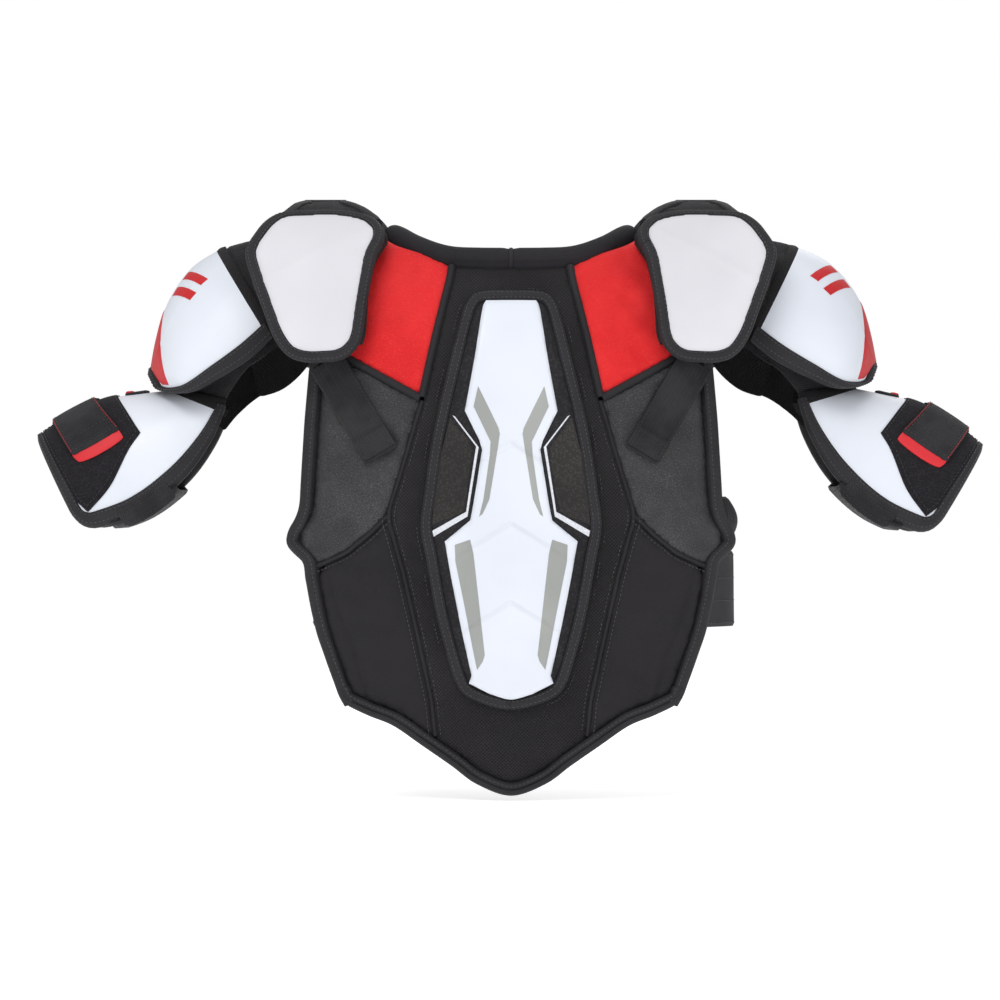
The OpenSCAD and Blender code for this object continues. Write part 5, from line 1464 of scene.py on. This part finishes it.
    make(f"guard_pile_stitching_{nm}", stitches(S_guard, ring_in(pile, 2.4), 2.3), M["thread"], GN, sd, "guard")

    # strap that closes over the pile: hook tab, pull tab, and the long part under the arm
    us, du = 0.7, 0.161
    hu = 0.146
    E = f"strap_end_{nm}"
    hook = rect(us - hu, us + hu, 0.225, 0.545, GU_UL, GU_VL, r=2, end_r=2, step=2.5)
    hp = place(S_guard(np.array([us * GU_UL] * 2), np.array([0.535, 0.455]) * GU_VL, 3.0), sd, "guard") * MM
    HB = (GN, E, tuple(hp[0]), tuple(hp[1]))
    make(f"strap_hook_{nm}", plate(S_guard, hook, 6.0, 3.2, step=2.6, bevel=1.4, drop=0.8), M["web"], HB, sd, "guard", replaces=f"strap_hook_tab_{nm}")
    make(f"strap_hook_stitching_{nm}", join(stitches(S_guard, ring_in(hook, 2.6), 6.0), stitches(S_guard, _resample(np.array([[(us - hu) * GU_UL + 3, 0.285 * GU_VL], [(us + hu) * GU_UL - 3, 0.285 * GU_VL]]), 2), 6.0, closed=False)), M["thread"], HB, sd, "guard")
    he = _resample(np.array([[(us - hu) * GU_UL + 1.0, 0.5 * GU_VL], [(us - hu) * GU_UL + 1.0, 0.235 * GU_VL]]), 2)
    he2 = _resample(np.array([[(us + hu) * GU_UL - 1.0, 0.235 * GU_VL], [(us + hu) * GU_UL - 1.0, 0.5 * GU_VL]]), 2)
    make(f"strap_hook_edge_{nm}", join(stitches(S_guard, he, 5.8, closed=False, pitch=2.6, length=2.2, r=0.5), stitches(S_guard, he2, 5.8, closed=False, pitch=2.6, length=2.2, r=0.5)), M["thread_red"], HB, sd, "guard")
    PT = [((us - du + 0.025), 0.25), ((us - du + 0.025), 0.212), ((us - du + 0.055), 0.194), ((us + du - 0.055), 0.194), ((us + du - 0.02), 0.212), ((us + du - 0.02), 0.25)]
    pt = ccw(smooth(sc(PT, GU_UL, GU_VL), corners=[0, 5], step=2.0))
    ribs_ = lambda P: 4.4 + 0.6 * np.clip(np.sin(P[:, 1] * 2 * np.pi / 3.4), 0, 1) * (np.abs(P[:, 0] - us * GU_UL) < 14)
    make(f"strap_pull_{nm}", plate(S_guard, pt, ribs_, 2.9, step=1.7, bevel=1.2, drop=0.7), M["rubber"], E, sd, "guard", replaces=f"strap_pull_tab_{nm}")

    GC, GLn = np.array(GUARD[0], float), np.array(GUARD[1], float)

    def arm(s, k, off=0.0):
        """s 0..1 from the front of the guard, round under the arm, to its rear edge."""
        u = us - du + 2 * du * k
        out = np.zeros(s.shape + (3,))
        split = 0.48
        v = 0.53 + 0.47 * np.clip(s / split, 0, 1)
        over = S_guard(u * GU_UL, v * GU_VL, 3.0 + off)
        C_, L_, W_ = curve(GUARD[0], u), curve(GUARD[1], u), curve(GUARD[3], u)
        nn = unit(L_ - C_)
        tt = np.clip((s - split) / (1 - split), 0, 1)
        drop_ = 5 * np.clip(tt / 0.12, 0, 1) ** 0.5 * np.clip((1 - tt) / 0.22, 0, 1) ** 0.7
        q = L_ + nn * (drop_ + off * np.clip(tt / 0.12, 0, 1))[..., None]
        ang = np.pi * tt
        under = np.stack([q[..., 0], (W_ + 1.0 + 2.4 * (1 - tt) + off) * np.cos(ang), q[..., 1]], -1)
        w = (s > split)[..., None]
        return np.where(w, under, over)

    def ribbon2(at, n, m, t_, edge=1.0):
        s, k = np.linspace(0, 1, n), np.linspace(0, 1, m)
        A, Bk = np.meshgrid(s, k, indexing="ij")
        w = 43.0
        e = np.minimum(k, 1 - k) * w
        r = np.sqrt(np.clip(1 - (1 - np.clip(e / edge, 0, 1)) ** 2, 0.04, 1))
        hi, lo = at(A, Bk, t_), at(A, Bk, 0.0)
        mid = (hi + lo) / 2
        R = np.concatenate([mid + (hi - mid) * r[None, :, None], (mid + (lo - mid) * r[None, :, None])[:, ::-1]], axis=1)
        c = lo[:, m // 2]
        L = np.concatenate([[0], np.cumsum(np.linalg.norm(np.diff(c, axis=0), axis=1))])
        return loft(R, False, L)

    make(f"arm_strap_{nm}_web", ribbon2(arm, 110, 21, 2.4), M["web"], GN, sd, "guard", replaces=f"arm_strap_{nm}")
    # keeper under the rear edge, where the strap is sewn on
    keep = rect(0.565, 0.82, -0.03, 0.024, GU_UL, GU_VL, r=2, end_r=2, step=2.2)
    make(f"strap_keeper_{nm}", plate(S_guard, keep, 3.7, -3.0, step=3, bevel=1.2, drop=0.8), M["web"], GN, sd, "guard")
    make(f"strap_keeper_stitching_{nm}", stitches(S_guard, ring_in(keep, 2.2), 3.7), M["thread"], GN, sd, "guard")

    lk = rect(0.2, 0.36, 0.47, 0.54, GU_UL, GU_VL, r=1.5, end_r=1.5, step=2)
    make(f"cup_link_{nm}", plate(S_guard, lk, 3.2, 0.4, step=2.5, bevel=1.2, drop=0.8), M["web"], GN, sd, "guard", replaces=f"cup_link_strap_{nm}")
    lr = rect(0.30, 0.355, 0.478, 0.532, GU_UL, GU_VL, r=1.5, end_r=1.5, step=1.6)
    make(f"cup_link_tip_{nm}", plate(S_guard, lr, 4.2, 2.6, step=2, bevel=0.9, drop=0.6), M["rubber"], GN, sd, "guard")


# ------------------------------------------------------------------ floor, light and camera
FLOOR_Z = CAD_LO[2] - 0.004


def floor():
    n = 41
    xs = np.linspace(-30, 30, n)
    V = [(float(x), float(y), float(FLOOR_Z)) for y in xs for x in xs]
    F = [(i * n + j, i * n + j + 1, (i + 1) * n + j + 1, (i + 1) * n + j) for i in range(n - 1) for j in range(n - 1)]
    me = bpy.data.meshes.new("studio_floor")
    me.from_pydata(V, [], F)
    me.polygons.foreach_set("use_smooth", [True] * len(me.polygons))
    m = bpy.data.materials.new("studio_paper")
    m.use_nodes = True
    b = next(x for x in m.node_tree.nodes if x.type == "BSDF_PRINCIPLED")
    b.inputs["Base Color"].default_value = (0.93, 0.93, 0.935, 1)
    b.inputs["Roughness"].default_value = 0.9
    b.inputs["Emission Color"].default_value = (1, 1, 1, 1)
    b.inputs["Emission Strength"].default_value = 0.56
    me.materials.append(m)
    ob = bpy.data.objects.new("studio_floor", me)
    bpy.context.scene.collection.objects.link(ob)


floor()
sc = bpy.context.scene
sc.view_settings.view_transform = "Standard"
world = bpy.data.worlds.new("studio")
world.use_nodes = True
wt = world.node_tree
bg_ = wt.nodes["Background"]
bg_.inputs[0].default_value = (1, 1, 1, 1)
lp = wt.nodes.new("ShaderNodeLightPath")
mr = wt.nodes.new("ShaderNodeMapRange")
mr.inputs["To Min"].default_value = 0.5
mr.inputs["To Max"].default_value = 1.0
wt.links.new(lp.outputs["Is Camera Ray"], mr.inputs["Value"])
wt.links.new(mr.outputs["Result"], bg_.inputs[1])
sc.world = world


def area(name, loc, target, size, power):
    L = bpy.data.lights.new(name, "AREA")
    L.shape = "RECTANGLE"
    L.size, L.size_y = size
    L.energy = power
    ob = bpy.data.objects.new(name, L)
    ob.location = loc
    ob.rotation_euler = (Vector(target) - Vector(loc)).to_track_quat("-Z", "Y").to_euler()
    sc.collection.objects.link(ob)


area("key", (-0.9, -2.0, 2.0), (0, 0, 0.05), (1.5, 1.1), 30)
area("fill", (1.8, -1.9, 1.0), (0, 0, 0.05), (1.4, 1.4), 9)
area("top", (0, 0.1, 2.4), (0, 0, 0.0), (1.8, 1.2), 12)
area("back", (0.4, 2.0, 1.4), (0, 0, 0.05), (1.6, 1.2), 9)

cam = bpy.data.cameras.new("camera")
cam.sensor_width = 36
cam.lens = 186.8
cam.clip_end = 50
co = bpy.data.objects.new("camera", cam)
co.location = (-0.0085, -4.06, 0.0)
co.rotation_euler = (math.pi / 2, 0, 0)
sc.collection.objects.link(co)
sc.camera = co
